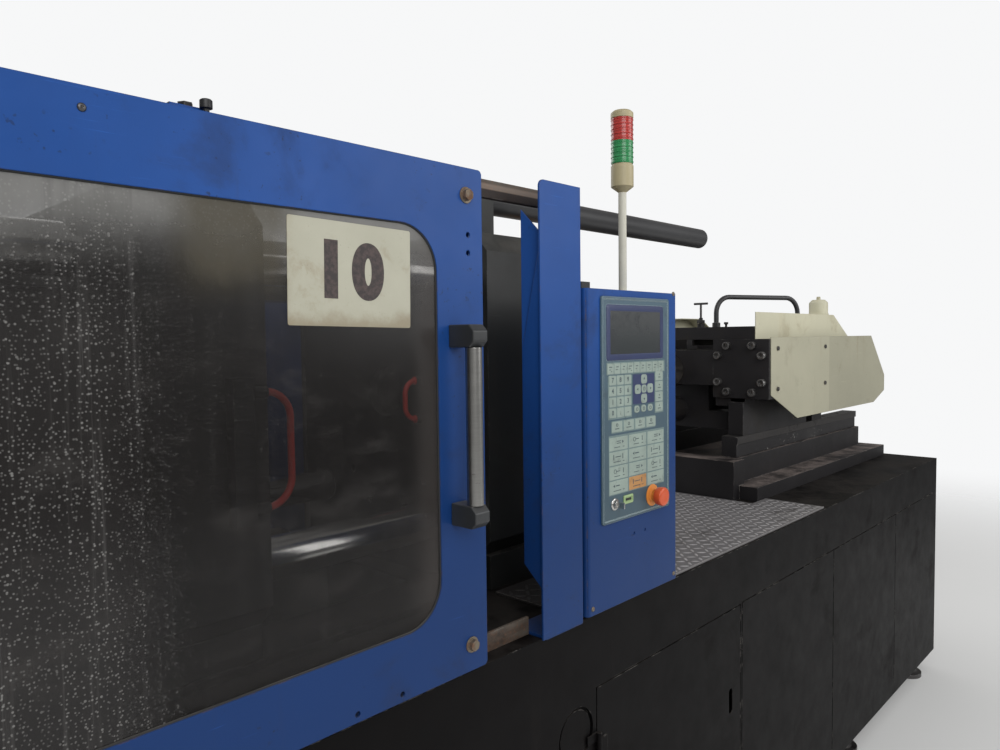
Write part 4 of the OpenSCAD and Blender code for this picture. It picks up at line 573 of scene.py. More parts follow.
# Each finish: its maker, then a colour (or a named colour and its share) and what differs from the usual.
FINISHES = {
    # The gate enamel takes painted shade low down.
    "gate_enamel": (painted, ("enamel", 1.0), dict(
        rough=0.36, dirt=(0.018, 0.020, 0.030), bare=(0.105, 0.060, 0.034), stain=0.34, run=0.26,
        scratch=0.20, speck=0.55, wear=0.75, dust=0.22, tone=0.12, low_dark=0.85, mirror=0.22)),
    "base_paint": (painted, ("base", 1.0), dict(
        rough=0.48, stain=0.4, run=0.4, scratch=0.30, dirt=(0.0065, 0.0054, 0.0049),
        bare=(0.20, 0.19, 0.175),
        wear=0.8, dust=0.55, speck=0.5, tone=0.25, dust_colour=(0.050, 0.044, 0.040), mirror=0.09)),
    "casting_paint": (painted, ("casting", 1.0), dict(
        rough=0.40, stain=0.5, run=0.3, scratch=0.35, wear=0.7, dust=0.5, tone=0.25, grain=0.5,
        grain_scale=180.0, bare=(0.24, 0.23, 0.215), dust_colour=(0.085, 0.072, 0.066), mirror=0.35)),
    "platen_paint": (painted, ("platen", 1.0), dict(
        rough=0.45, stain=0.5, run=0.4, grain=0.4, grain_scale=220.0, dust=0.5)),
    # The cover paint takes painted shade past its fold line.
    "cover_paint": (painted, ("cover", 1.0), dict(
        rough=0.46, dirt=(0.16, 0.125, 0.075), bare=(0.10, 0.07, 0.05), stain=0.32, run=0.35, scratch=0.12,
        speck=0.7, wear=0.55, dust=0.25, dust_colour=(0.33, 0.31, 0.25), tone=0.07, crease=1.898)),
    "bed_paint": (painted, ("casting", 1.0), dict(
        rough=0.45, stain=0.4, run=0.3, wear=0.9, dust=1.0, tone=0.25, grain=0.5, grain_scale=180.0,
        bare=(0.26, 0.23, 0.21), dust_colour=(0.195, 0.160, 0.145), mirror=0.30)),
    "rail_top": (bare_metal, (0.105, 0.100, 0.098), dict(
        rough=0.45, brush=(0.3, 2.0, 2.0), stain=0.9, rust=0.10, dust=0.35, dirt=(0.012, 0.010, 0.009),
        spots=1.0, scale=1.6)),
    "rail_paint": (painted, ("casting", 1.0), dict(
        dirt=(0.42, 0.41, 0.39), stain=0.05, run=0.0, speck=1.0, scratch=0.6, wear=1.0, dust=0.3, tone=0.2,
        radius=0.004, bare=(0.36, 0.34, 0.32), mirror=0.35, scale=0.8)),
    # The hood's paint is the cover paint made brighter: painted light on the hood.
    "hood_paint": (painted, ("cover", 1.42), dict(
        rough=0.50, dirt=(0.30, 0.24, 0.12), bare=(0.20, 0.15, 0.09), stain=0.45, speck=0.5, wear=0.4,
        scratch=0.1, dust=0.15, dust_colour=(0.45, 0.42, 0.33), tone=0.06)),
    "cabinet_paint": (painted, (0.44, 0.44, 0.42), dict(
        rough=0.45, stain=0.25, wear=0.4, dirt=(0.12, 0.10, 0.08), dust=0.3)),
    "guard_paint": (painted, (0.62, 0.27, 0.035), dict(
        stain=0.4, wear=0.7, dirt=(0.06, 0.035, 0.02), dust=0.3)),
    "pump_paint": (painted, (0.070, 0.125, 0.190), dict(
        rough=0.45, stain=0.55, dust=0.5, grain=0.4, grain_scale=200.0)),
    "pole_plastic": (painted, (0.56, 0.545, 0.46), dict(
        rough=0.40, stain=0.15, run=0.2, wear=0.2, dirt=(0.22, 0.19, 0.14), dust=0.2, tone=0.06)),
    "sleeve_paint": (painted, (0.034, 0.034, 0.036), dict(
        rough=0.38, stain=0.3, run=0.1, dust=0.75, dust_colour=(0.115, 0.108, 0.102), scratch=0.3)),
    "black_plastic": (moulded, (0.014, 0.014, 0.015), dict(rough=0.42, dust=0.3)),
    "grip_block": (moulded, (0.030, 0.032, 0.034), dict(dust=0.30, tone=0.2)),
    "rubber_hose": (moulded, (0.70, 0.045, 0.030), dict(rough=0.35, coat=0.2, stain=0.05)),
    "rubber_seal": (moulded, (0.018, 0.018, 0.018), dict(rough=0.6, stain=0.4, dust=0.4)),
    "stop_cap": (moulded, ("stop", 1.0), dict(rough=0.32, coat=0.3, stain=0.25, tone=0.15)),
    "stop_ring": (moulded, (0.66, 0.235, 0.040), dict(rough=0.45, stain=0.3)),
    "tower_plastic": (moulded, (0.400, 0.345, 0.205), dict(rough=0.45, stain=0.3, dust=0.3)),
    "key_mark": (moulded, (0.045, 0.070, 0.085), dict(rough=0.5, stain=0.1, dust=0.0)),
    "bezel_navy": (moulded, (0.026, 0.038, 0.105), dict(rough=0.35, coat=0.1)),
    "port_green": (moulded, (0.30, 0.42, 0.20), dict(rough=0.4)),
    "chrome_bar": (bare_metal, (0.60, 0.59, 0.57), dict(
        rough=0.17, brush=(0.25, 2.0, 2.0), brush_strength=0.05, stain=0.35, dust=0.15)),
    "machined_steel": (bare_metal, (0.42, 0.41, 0.40), dict(
        rough=0.34, brush=(0.3, 2.0, 2.0), stain=0.5, rust=0.12, dust=0.3)),
    "brushed_grip": (bare_metal, (0.36, 0.355, 0.34), dict(
        brush=(0.6, 0.6, 6.0), brush_strength=0.15, stain=0.10, dust=0.05, spots=0.15)),
    "screw_steel": (bare_metal, (0.13, 0.125, 0.125), dict(rough=0.38, rust=0.05, dust=0.3)),
    "cap_screw": (bare_metal, (0.27, 0.265, 0.26), dict(rough=0.36, stain=0.4, rust=0.05, dust=0.5)),
    "rusty_bolt": (bare_metal, (0.26, 0.22, 0.17), dict(rough=0.45, rust=0.55)),
    "heater_metal": (bare_metal, (0.33, 0.32, 0.30), dict(
        rough=0.40, stain=0.55, rust=0.10, brush=(2.0, 0.6, 0.6), dust=0.3)),
    "barrel_steel": (bare_metal, (0.20, 0.185, 0.17), dict(rough=0.42, stain=0.5, rust=0.2)),
    "lock_chrome": (bare_metal, (0.62, 0.61, 0.59), dict(rough=0.22, stain=0.15)),
    "key_pale": (key_print, ("key", 1.0), {}),
    "key_ground": (key_print, (0.150, 0.215, 0.215), {}),
    "key_orange": (key_print, (0.46, 0.235, 0.085), {}),
    "lens_green": (signal_lens, ("green", 1.0), {}),
    "lens_red": (signal_lens, ("red", 1.0), {}),
    "front_pane": (smoky_pane, 0.42, dict(front=True)),
    "rear_pane": (smoky_pane, 0.93, dict(front=False)),
    "rail_rust": (rail_rust,),
    "tread_steel": (tread_steel,),
    "notice_paper": (notice_paper,),
    "faded_ink": (faded_ink,),
    "keypad_film": (keypad_film,),
    "display_glass": (display_glass,),
}


def finish(name):
    """The named finish, made the first time it is asked for."""
    key = "finish_" + name
    if key not in bpy.data.materials:
        maker, *rest = FINISHES[name]
        values, settings = rest[:1], rest[1] if len(rest) > 1 else {}
        if values and isinstance(values[0], tuple) and isinstance(values[0][0], str):
            colour_name, share = values[0]
            values = [shade(getattr(colours(), colour_name), share)]
        maker(*values, **settings).name = key
    return bpy.data.materials[key]


# Meshes


def add_object(name, data):
    piece = bpy.data.objects.new(name, data)
    bpy.context.scene.collection.objects.link(piece)
    return piece


def mesh_of(maker):
    """Plain mesh of an object as it is evaluated."""
    bpy.context.view_layer.update()
    graph = bpy.context.evaluated_depsgraph_get()
    return bpy.data.meshes.new_from_object(maker.evaluated_get(graph), depsgraph=graph)


def written(body, size, offset, resolution=12, spacing=1.0):
    """Mesh of thin upright characters, centred on the origin and facing the operator."""
    text = bpy.data.curves.new(body, "FONT")
    text.body = body
    text.size = size
    text.offset = offset
    text.resolution_u = resolution
    text.space_character = spacing
    text.extrude = 0.00005
    text.align_x = text.align_y = "CENTER"
    maker = add_object("text_maker", text)
    mesh = mesh_of(maker)
    bpy.data.objects.remove(maker)
    mesh.transform(Matrix.Rotation(math.pi / 2, 4, "X"))
    return mesh


def settle(piece, body, nodes=()):
    """The piece rides on its body and stands for its nodes."""
    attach(piece, body)
    if nodes:
        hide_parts(*nodes)


def soften(bm, angle=32.0):
    """Smooth faces with hard edges where the surface turns by more than the angle."""
    limit = math.radians(angle)
    for face in bm.faces:
        face.smooth = True
    for edge in bm.edges:
        edge.smooth = len(edge.link_faces) == 2 and edge.calc_face_angle(0.0) < limit


def piece_of(bm, name, finish_names, angle):
    """Object made of the mesh, with its finishes and with face-weighted normals that keep flats flat."""
    soften(bm, angle)
    mesh = bpy.data.meshes.new(name)
    bm.to_mesh(mesh)
    bm.free()
    for finish_name in finish_names:
        mesh.materials.append(finish(finish_name))
    piece = add_object(name, mesh)
    piece.modifiers.new("Flat Faces", "WEIGHTED_NORMAL").keep_sharp = True
    return piece


def dressed(node, finish_names, pick=lambda centre: 0, rounds=()):
    """Merged copy of a CAD node in its place, with rounded edges.

    pick gives a face's finish number from its centre. A round is a test of edges, a radius and its steps.
    """
    flat, turned, soft_degrees = math.radians(0.6), math.radians(30.0), 42.0
    bm = bmesh.new()
    bm.from_mesh(NODES[node].data)
    bmesh.ops.remove_doubles(bm, verts=bm.verts, dist=0.00001)
    bmesh.ops.dissolve_limit(bm, angle_limit=flat, verts=bm.verts, edges=bm.edges,
                             use_dissolve_boundaries=False)
    for test, radius, steps in rounds:
        edges = [edge for edge in bm.edges if len(edge.link_faces) == 2
                 and edge.calc_face_angle(0.0) > turned and (not test or test(edge))]
        if edges:
            bmesh.ops.bevel(bm, geom=edges, offset=radius, offset_type="OFFSET", segments=steps,
                            profile=0.5, affect="EDGES", clamp_overlap=True, loop_slide=True)
    bmesh.ops.dissolve_degenerate(bm, dist=0.000001, edges=bm.edges)
    for face in bm.faces:
        face.material_index = pick(face.calc_center_median())
    piece = piece_of(bm, node + "_dressed", finish_names, soft_degrees)
    settle(piece, BODY_OF[node], [node])


def plain(finish_name, radius, steps, *nodes):
    """Dresses nodes in one finish, with one round on all their edges."""
    for node in nodes:
        dressed(node, [finish_name], rounds=[(None, radius, steps)])


def refinish(node, finish_name):
    """Gives a CAD node that keeps its own mesh a new finish."""
    mesh = NODES[node].data
    mesh.materials.clear()
    mesh.materials.append(finish(finish_name))


def around(sides, radius, height=0.0):
    """Points round the Z axis; radius is a number, or is called with each point's angle."""
    ring = []
    for i in range(sides):
        angle = 2 * math.pi * i / sides
        reach = radius(angle) if callable(radius) else radius
        ring.append(Vector((reach * math.cos(angle), reach * math.sin(angle), height)))
    return ring


class Shape:
    """Gathers closed shapes with their finishes and makes one mesh piece of them."""

    def __init__(self, name, *finish_names):
        self.name = name
        self.finish_names = finish_names
        self.bm = bmesh.new()

    def loops(self, rings, index=0, bored=False):
        """Skin over successive rings of points, with flat caps at its ends, or back to the first ring."""
        rows = [[self.bm.verts.new(point) for point in ring] for ring in rings]
        if bored:
            rows.append(rows[0])
        count = len(rows[0])
        faces = []
        for low, high in zip(rows, rows[1:]):
            for i in range(count):
                j = (i + 1) % count
                faces.append(self.bm.faces.new((low[i], low[j], high[j], high[i])))
        if not bored:
            faces.append(self.bm.faces.new(list(reversed(rows[0]))))
            faces.append(self.bm.faces.new(rows[-1]))
        for face in faces:
            face.material_index = index

    def turn(self, origin, axis, profile, index=0, sides=32, bored=False):
        """Solid of revolution: profile is (radius, height) pairs along the axis from the origin."""
        axis = Vector(axis)
        side = axis.orthogonal().normalized()
        across = axis.cross(side)
        rings = []
        for radius, height in profile:
            middle = Vector(origin) + axis * height
            rings.append([middle + side * point.x + across * point.y for point in around(sides, radius)])
        self.loops(rings, index, bored)

    def tube(self, points, radius, index=0, sides=24):
        """Round tube through points, with flat ends."""
        points = [Vector(p) for p in points]
        rings = []
        side = (points[1] - points[0]).orthogonal()
        for i, point in enumerate(points):
            ahead = points[min(i + 1, len(points) - 1)] - points[max(i - 1, 0)]
            ahead.normalize()
            side = (side - ahead * side.dot(ahead)).normalized()
            across = ahead.cross(side)
            rings.append([point + side * spot.x + across * spot.y for spot in around(sides, radius)])
        self.loops(rings, index)

    def box(self, low, high, index=0, round_by=0.0):
        """Box with rounded edges."""
        made = bmesh.ops.create_cube(self.bm, size=1.0)["verts"]
        for vert in made:
            vert.co = Vector((low[k] if vert.co[k] < 0 else high[k] for k in range(3)))
        for face in {face for vert in made for face in vert.link_faces}:
            face.material_index = index
        if round_by:
            edges = {edge for vert in made for edge in vert.link_edges}
            bmesh.ops.bevel(self.bm, geom=list(edges), offset=round_by, segments=2, profile=0.5,
                            affect="EDGES", clamp_overlap=True, material=index)

    def plate(self, outline, origin, depth, index=0, across=(1, 0, 0)):
        """Upright plate from an outline of (a, b) pairs, pushed out along across x up by depth."""
        across, up = Vector(across), Vector((0, 0, 1))
        points = [Vector(origin) + across * a + up * b for a, b in outline]
        self.loops([points, [p + across.cross(up) * depth for p in points]], index)

    def stepped(self, x, z, width, height, face, steps, index=0):
        """Block that faces the operator; each step is an inset, a corner radius and a Y from the face."""
        rings = []
        for inset, corner, rise in steps:
            outline = rounded_outline(width - 2 * inset, height - 2 * inset, corner)
            rings.append([Vector((x + inset + a, face + rise, z + inset + b)) for a, b in outline])
        self.loops(rings, index)

    def done(self, angle=40.0):
        bmesh.ops.recalc_face_normals(self.bm, faces=self.bm.faces)
        return piece_of(self.bm, self.name, self.finish_names, angle)


def rounded_outline(width, height, radius, steps=5):
    """Rectangle with round corners, from its own lower left corner, anticlockwise."""
    points = []
    for cx, cy, start in ((width - radius, radius, -90), (width - radius, height - radius, 0),
                          (radius, height - radius, 90), (radius, radius, 180)):
        for i in range(steps + 1):
            angle = math.radians(start + 90 * i / steps)
            points.append((cx + radius * math.cos(angle), cy + radius * math.sin(angle)))
    return points


# Geometry node trees for what repeats


def pattern_tree(name, inputs):
    """Empty geometry tree with named inputs; returns its net, its inputs and its output."""
    tree = bpy.data.node_groups.new(name, "GeometryNodeTree")
    for label, kind, default in inputs:
        socket = tree.interface.new_socket(name=label, in_out="INPUT", socket_type="NodeSocket" + kind)
        if default is not None:
            socket.default_value = default
    tree.interface.new_socket(name="Geometry", in_out="OUTPUT", socket_type="NodeSocketGeometry")
    return Net(tree), tree.nodes.new("NodeGroupInput").outputs, tree.nodes.new("NodeGroupOutput").inputs


def finish_pattern(net, start, end, geometry):
    """Makes the instances real, gives them their finish and joins them to the output."""
    real = net.add("GeometryNodeRealizeInstances", {0: geometry}).outputs[0]
    coated = net.add("GeometryNodeSetMaterial", {"Geometry": real, "Material": start["Finish"]})
    net.feed(end[0], coated.outputs[0])
    return net.tree


def lug_tree(name):
    """Grid of long lugs that lie crosswise in turn."""
    net, start, end = pattern_tree(name, [
        ("Geometry", "Geometry", None), ("Lug Length", "Float", 0.027), ("Lug Width", "Float", 0.0085),
        ("Lug Height", "Float", 0.0016), ("Finish", "Material", None)])
    ball = net.add("GeometryNodeMeshUVSphere", {"Segments": 10, "Rings": 6, "Radius": 0.5}).outputs["Mesh"]
    ball = net.add("GeometryNodeSetShadeSmooth", {"Geometry": ball}).outputs[0]
    thick = net.add("ShaderNodeMath", {0: start["Lug Height"], 1: 2.0}, operation="MULTIPLY").outputs[0]
    size = net.vector(x=start["Lug Length"], y=start["Lug Width"], z=thick)
    lean = net.add("GeometryNodeInputNamedAttribute", {"Name": "lean"},
                   data_type="FLOAT").outputs["Attribute"]
    spread = {"Min": (0.94, 0.94, 0.75), "Max": (1.04, 1.04, 1.05), "Seed": 7}
    wobble = net.add("FunctionNodeRandomValue", spread, data_type="FLOAT_VECTOR").outputs[0]
    lugs = net.add("GeometryNodeInstanceOnPoints", {
        "Points": start["Geometry"], "Instance": ball, "Rotation": net.vector(z=lean),
        "Scale": net.stretch(size, wobble)}).outputs[0]
    return finish_pattern(net, start, end, lugs)


def fitting_tree(name):
    """One fitting on every point, turned at random about the way it faces."""
    net, start, end = pattern_tree(name, [
        ("Geometry", "Geometry", None), ("Part", "Object", None), ("Turn Spread", "Float", 1.0),
        ("Finish", "Material", None)])
    part = net.add("GeometryNodeObjectInfo", {"Object": start["Part"]}).outputs["Geometry"]
    facing = net.add("GeometryNodeInputNamedAttribute", {"Name": "facing"},
                     data_type="FLOAT_VECTOR").outputs["Attribute"]
    aim = net.add("FunctionNodeAlignRotationToVector", {"Vector": facing}, axis="Z").outputs[0]
    spin = net.add("FunctionNodeRandomValue", {2: 0.0, 3: start["Turn Spread"], "Seed": 11},
                   data_type="FLOAT").outputs[1]
    twist = net.add("FunctionNodeAxisAngleToRotation", {"Axis": (0.0, 0.0, 1.0), "Angle": spin}).outputs[0]
    turned = net.add("FunctionNodeRotateRotation", {"Rotation": aim, "Rotate By": twist},
                     rotation_space="LOCAL").outputs[0]
    placed = net.add("GeometryNodeInstanceOnPoints", {"Points": start["Geometry"], "Instance": part,
                                                      "Rotation": turned}).outputs[0]
    return finish_pattern(net, start, end, placed)


def key_tree(name):
    """Field of raised keys with round corners, in a plane that faces the operator."""
    net, start, end = pattern_tree(name, [
        ("Columns", "Int", 3), ("Rows", "Int", 4), ("Step Across", "Float", 0.027),
        ("Step Up", "Float", 0.022),
        ("Key Width", "Float", 0.022), ("Key Height", "Float", 0.017), ("Key Depth", "Float", 0.0011),
        ("Corner", "Float", 0.002), ("Start", "Vector", (0.0, 0.0, 0.0)), ("Finish", "Material", None)])
    outline = net.add("GeometryNodeCurvePrimitiveQuadrilateral", {"Width": start["Key Width"],
                                                                  "Height": start["Key Height"]}).outputs[0]
    outline = net.add("GeometryNodeFilletCurve", {"Curve": outline, "Radius": start["Corner"], "Count": 4,
                                                  "Limit Radius": True}, mode="POLY").outputs[0]
    face = net.add("GeometryNodeFillCurve", {"Curve": outline}, mode="NGONS").outputs[0]
    raised = net.add("GeometryNodeExtrudeMesh", {"Mesh": face, "Offset Scale": start["Key Depth"],
                                                 "Individual": False}).outputs
    shrunk = net.add("GeometryNodeScaleElements", {"Geometry": raised["Mesh"], "Selection": raised["Top"],
                                                   "Scale": 0.93}).outputs[0]
    upright = {"Geometry": shrunk, "Rotation": (math.pi / 2, 0.0, 0.0)}
    keys = net.add("GeometryNodeTransform", upright).outputs[0]
    for count, step in (("Columns", net.vector(x=start["Step Across"])),
                        ("Rows", net.vector(z=start["Step Up"]))):
        line = net.add("GeometryNodeMeshLine", {"Count": start[count], "Offset": step}).outputs[0]
        keys = net.add("GeometryNodeInstanceOnPoints", {"Points": line, "Instance": keys}).outputs[0]
    moved = net.add("GeometryNodeTransform", {"Geometry": keys, "Translation": start["Start"]}).outputs[0]
    return finish_pattern(net, start, end, moved)


PATTERNS = {"Tread Lugs": lug_tree, "Fittings On Points": fitting_tree, "Key Field": key_tree}


def pattern(name, tree_name, values, points=((0.0, 0.0, 0.0),), attribute=None):
    """Runs a geometry tree on points and returns its result as a plain mesh object at the origin."""
    tree = bpy.data.node_groups.get(tree_name) or PATTERNS[tree_name](tree_name)
    mesh = bpy.data.meshes.new(name)
    mesh.from_pydata(points, [], [])
    if attribute:
        label, kind, data = attribute
        layer = mesh.attributes.new(label, kind, "POINT")
        layer.data.foreach_set("vector" if kind == "FLOAT_VECTOR" else "value", data)
    carrier = add_object(name, mesh)
    modifier = carrier.modifiers.new(tree_name, "NODES")
    modifier.node_group = tree
    sockets = {item.name: item.identifier for item in tree.interface.items_tree if item.in_out == "INPUT"}
    for label, value in values.items():
        modifier[sockets[label]] = value
    result = mesh_of(carrier)
    carrier.modifiers.clear()
    carrier.data = result
    bpy.data.meshes.remove(mesh)
    if not result.polygons:
        raise RuntimeError(f"the pattern {name} came out empty")
    return carrier


def fittings(name, part, spots, facing, finish_name):
    """The part on every spot, all facing one way."""
    values = {"Part": part, "Turn Spread": 1.0, "Finish": finish(finish_name)}
    piece = pattern(name, "Fittings On Points", values, spots,
                    ("facing", "FLOAT_VECTOR", list(facing) * len(spots)))
    bpy.data.objects.remove(part)
    return piece


def to_hexagon(angle):
    """Reach of a hexagon's edge at an angle, for a flat that lies 1 from the middle."""
    return 1 / math.cos((angle + math.pi / 6) % (math.pi / 3) - math.pi / 6)


def loose_part(shape, angle):
    part = shape.done(angle)
    part.modifiers.clear()
    return part


def socket_head(radius, height):
    """Cap screw head with a hexagon socket, standing on the origin along Z."""
    shape = Shape("cap_screw")
    socket = radius * 0.52
    rings = [around(24, reach, level) for reach, level in (
        (radius, -0.001), (radius, height * 0.86), (radius * 0.93, height))]
    for flat, level in ((socket * 1.08, height), (socket, height * 0.93), (socket, height * 0.45)):
        rings.append(around(24, lambda angle, flat=flat: flat * to_hexagon(angle), level))
    shape.loops(rings)
    return loose_part(shape, 50.0)


def hexagon_head(radius, height):
    """Hexagon bolt head on its washer, standing on the origin along Z."""
    shape = Shape("hexagon_bolt")
    shape.turn((0, 0, 0), (0, 0, 1), [(radius * 1.35, -0.0005), (radius * 1.35, height * 0.16),
                                      (radius * 1.28, height * 0.22)], sides=24)
    flat = radius * math.cos(math.pi / 6)
    shape.loops([around(24, lambda angle, most=most: min(flat * to_hexagon(angle), most), level)
                 for level, most in ((height * 0.2, 9.0), (height * 0.9, 9.0), (height, radius * 0.93))])
    return loose_part(shape, 35.0)


def button_head(radius, height):
    """Low round screw head with a shallow recess, standing on the origin along Z."""
    shape = Shape("button_screw")
    profile = [(1.0, -0.0005), (0.98, height * 0.35), (0.8, height * 0.8), (0.45, height),
               (0.32, height * 0.98), (0.22, height * 0.55)]
    shape.turn((0, 0, 0), (0, 0, 1), [(radius * share, level) for share, level in profile], sides=20)
    return loose_part(shape, 50.0)


# Operators, one for each piece or group of like pieces


# Up, and towards the operator
UP, FORWARD = (0.0, 0.0, 1.0), (0.0, -1.0, 0.0)
# Height of the gates' top edge, and Y of the keypad panel's face
GATE_TOP = 1.781
PANEL_FACE = -0.6160


class MACHINE_OT_frame_castings(bpy.types.Operator):
    """Dresses the base, its feet and doors, the platens and the cylinders"""

    bl_idname = "machine.frame_castings"
    bl_label = "Base And Castings"

    def execute(self, context):
        small = sizes().edge_round
        plain("base_paint", small, 2, "machine_base", "service_door", "cabinet_door")
        plain("platen_paint", small * 1.5, 2, "fixed_platen", "tail_platen", "moving_platen",
              "ejector_housing", "main_cylinder")
        plain("screw_steel", small * 0.7, 1, "levelling_feet")
        plain("casting_paint", small, 2, "tie_bar_nuts")
        plain("pump_paint", small * 0.8, 1, "pump_set")
        plain("cabinet_paint", small * 0.6, 1, "control_cabinet")
        return {"FINISHED"}


class MACHINE_OT_bright_bars(bpy.types.Operator):
    """Dresses the tie bars, the ram, the rods and the other bright steel"""

    bl_idname = "machine.bright_bars"
    bl_label = "Bright Bars And Rods"

    def execute(self, context):
        plain("chrome_bar", 0.0008, 1, "tie_bars", "clamp_ram", "seat_rod", "safety_bar", "screw")
        plain("machined_steel", 0.0008, 1, "ejector_plate", "safety_pawl")
        return {"FINISHED"}


class MACHINE_OT_guards(bpy.types.Operator):
    """Dresses the gates, posts, rails, panes and the tail cover"""

    bl_idname = "machine.guards"
    bl_label = "Gates And Guards"

    def execute(self, context):
        rim_width, frame_depth, near = 0.009, 0.0402, 0.0002
        for side, node in ((-1, "front_gate_frame"), (1, "rear_gate_frame")):
            low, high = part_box(node)
            face = low.y if side < 0 else high.y

            def on_rim(edge, face=face, low=low, high=high):
                middle = (edge.verts[0].co + edge.verts[1].co) / 2
                rim = min(middle.x - low.x, high.x - middle.x, middle.z - low.z, GATE_TOP - middle.z)
                return rim < rim_width and all(abs(vert.co.y - face) < near for vert in edge.verts)

            dressed(node, ["gate_enamel", "casting_paint"],
                    lambda centre, face=face: int(abs(centre.y - face) > frame_depth),
                    [(on_rim, sizes().fold_round, 4), (None, 0.0007, 1)])
        plain("gate_enamel", 0.0012, 2, "gate_posts")
        plain("gate_enamel", 0.0015, 2, "tail_cover")
        plain("rail_rust", 0.0012, 2, "gate_rails")
        self.platen_seals()
        plain("guard_paint", 0.0008, 1, "purge_guard")
        refinish("front_gate_window", "front_pane")
        refinish("rear_gate_window", "rear_pane")
        plain("grip_block", 0.0015, 2, "rear_gate_handle")
        plain("grip_block", 0.0022, 3, "front_gate_grip_blocks")
        plain("brushed_grip", 0.0005, 1, "front_gate_grip")
        return {"FINISHED"}

    def platen_seals(self):
        """Rubber edging between the rear post and the fixed platen, and a rubber apron under that platen; as
        dark pieces they close see-through gaps, standing in for the shade there.
        """
        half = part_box("fixed_platen")[1].y
        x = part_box("fixed_hose")[1].x
        nozzle_low, nozzle_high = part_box("nozzle")
        axis_z = (nozzle_low.z + nozzle_high.z) / 2
        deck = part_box("tread_plate")[0].z
        seals = Shape("platen_seals", "rubber_seal")
        seals.box((x - 0.009, half + 0.0003, deck + 0.010), (x + 0.006, half + 0.0060, axis_z + half),
                  round_by=0.001)
        seals.box((x + 0.004, 0.02 - half, deck + 0.001), (x + 0.007, half, axis_z - half + 0.08),
                  round_by=0.0005)
        settle(seals.done(), "machine")


class MACHINE_OT_gate_trim(bpy.types.Operator):
    """Adds the panes' rubber seals, the gates' bolts and small screws"""

    bl_idname = "machine.gate_trim"
    bl_label = "Gate Trim"

    def execute(self, context):
        over, lift = 0.020, 0.0006
        for side, gate in ((-1, "front_gate"), (1, "rear_gate")):
            low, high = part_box(gate + "_window")
            y = low.y - lift if side < 0 else high.y + lift
            outline = rounded_outline(high.x - low.x - 2 * over, high.z - low.z - 2 * over, 0.070, 10)
            ring = [Vector((low.x + over + a, y, low.z + over + b)) for a, b in outline]
            seal = Shape(gate + "_seal", "rubber_seal")
            seal.tube(ring + ring[:2], 0.0021, sides=8)
            settle(seal.done(60.0), gate)
        low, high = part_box("front_gate_frame")
        bolts_low, bolts_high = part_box("front_gate_bolts")
        face, half_bolt = bolts_high.y, 0.013
        corners = [(x, face, z) for x in (bolts_low.x + half_bolt, bolts_high.x - half_bolt)
                   for z in (bolts_low.z + half_bolt, bolts_high.z - half_bolt)]
        bolt = hexagon_head(0.0098, 0.0092)
        bolts = fittings("front_gate_hexagon_bolts", bolt, corners, FORWARD, "rusty_bolt")
        settle(bolts, "front_gate", ["front_gate_bolts"])
        spots = [(x, face, z) for x, z in (
            (high.x - 0.020, 1.50), (high.x - 0.020, 1.22), (high.x - 0.60, 1.757), (high.x - 0.60, 0.982),
            (low.x + 0.020, 1.50), (low.x + 0.020, 1.22))]
        screw = button_head(0.0048, 0.0022)
        screws = fittings("front_gate_small_screws", screw, spots, FORWARD, "screw_steel")
        settle(screws, "front_gate")
        cap = Shape("gate_top_cap", "black_plastic")
        cap.turn((-0.704, -0.578, GATE_TOP), UP, [(0.0040, -0.0008), (0.0040, 0.0135), (0.0078, 0.0140),
                                                  (0.0078, 0.0235), (0.0062, 0.0250)], sides=24)
        settle(cap.done(50.0), "front_gate")
        return {"FINISHED"}


class MACHINE_OT_notice(bpy.types.Operator):
    """Makes the paper notice on the front pane, with a plain number"""

    bl_idname = "machine.notice"
    bl_label = "Notice Card"

    def execute(self, context):
        low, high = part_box("notice_card")
        centre = (low + high) / 2
        tilt = Matrix.Rotation(math.radians(0.9), 4, "Y")
        width, height = high.x - low.x - 0.003, high.z - low.z - 0.003
        outline = [(a - width / 2, b - height / 2) for a, b in rounded_outline(width, height, 0.003, 3)]
        card = Shape("notice_sheet", "notice_paper")
        card.plate(outline, (0, 0, 0), 0.0007)
        sheet = card.done()
        sheet.data.transform(Matrix.Translation((centre.x + 0.003, high.y - 0.0001, centre.z)) @ tilt)
        settle(sheet, "front_gate", ["notice_card"])
        number = written("10", 0.100, 0.0062, spacing=1.25)
        number.transform(Matrix.Translation((centre.x - 0.002, high.y - 0.00095, centre.z + 0.002)) @ tilt)
        number.materials.append(finish("faded_ink"))
        settle(add_object("notice_number", number), "front_gate")
        return {"FINISHED"}


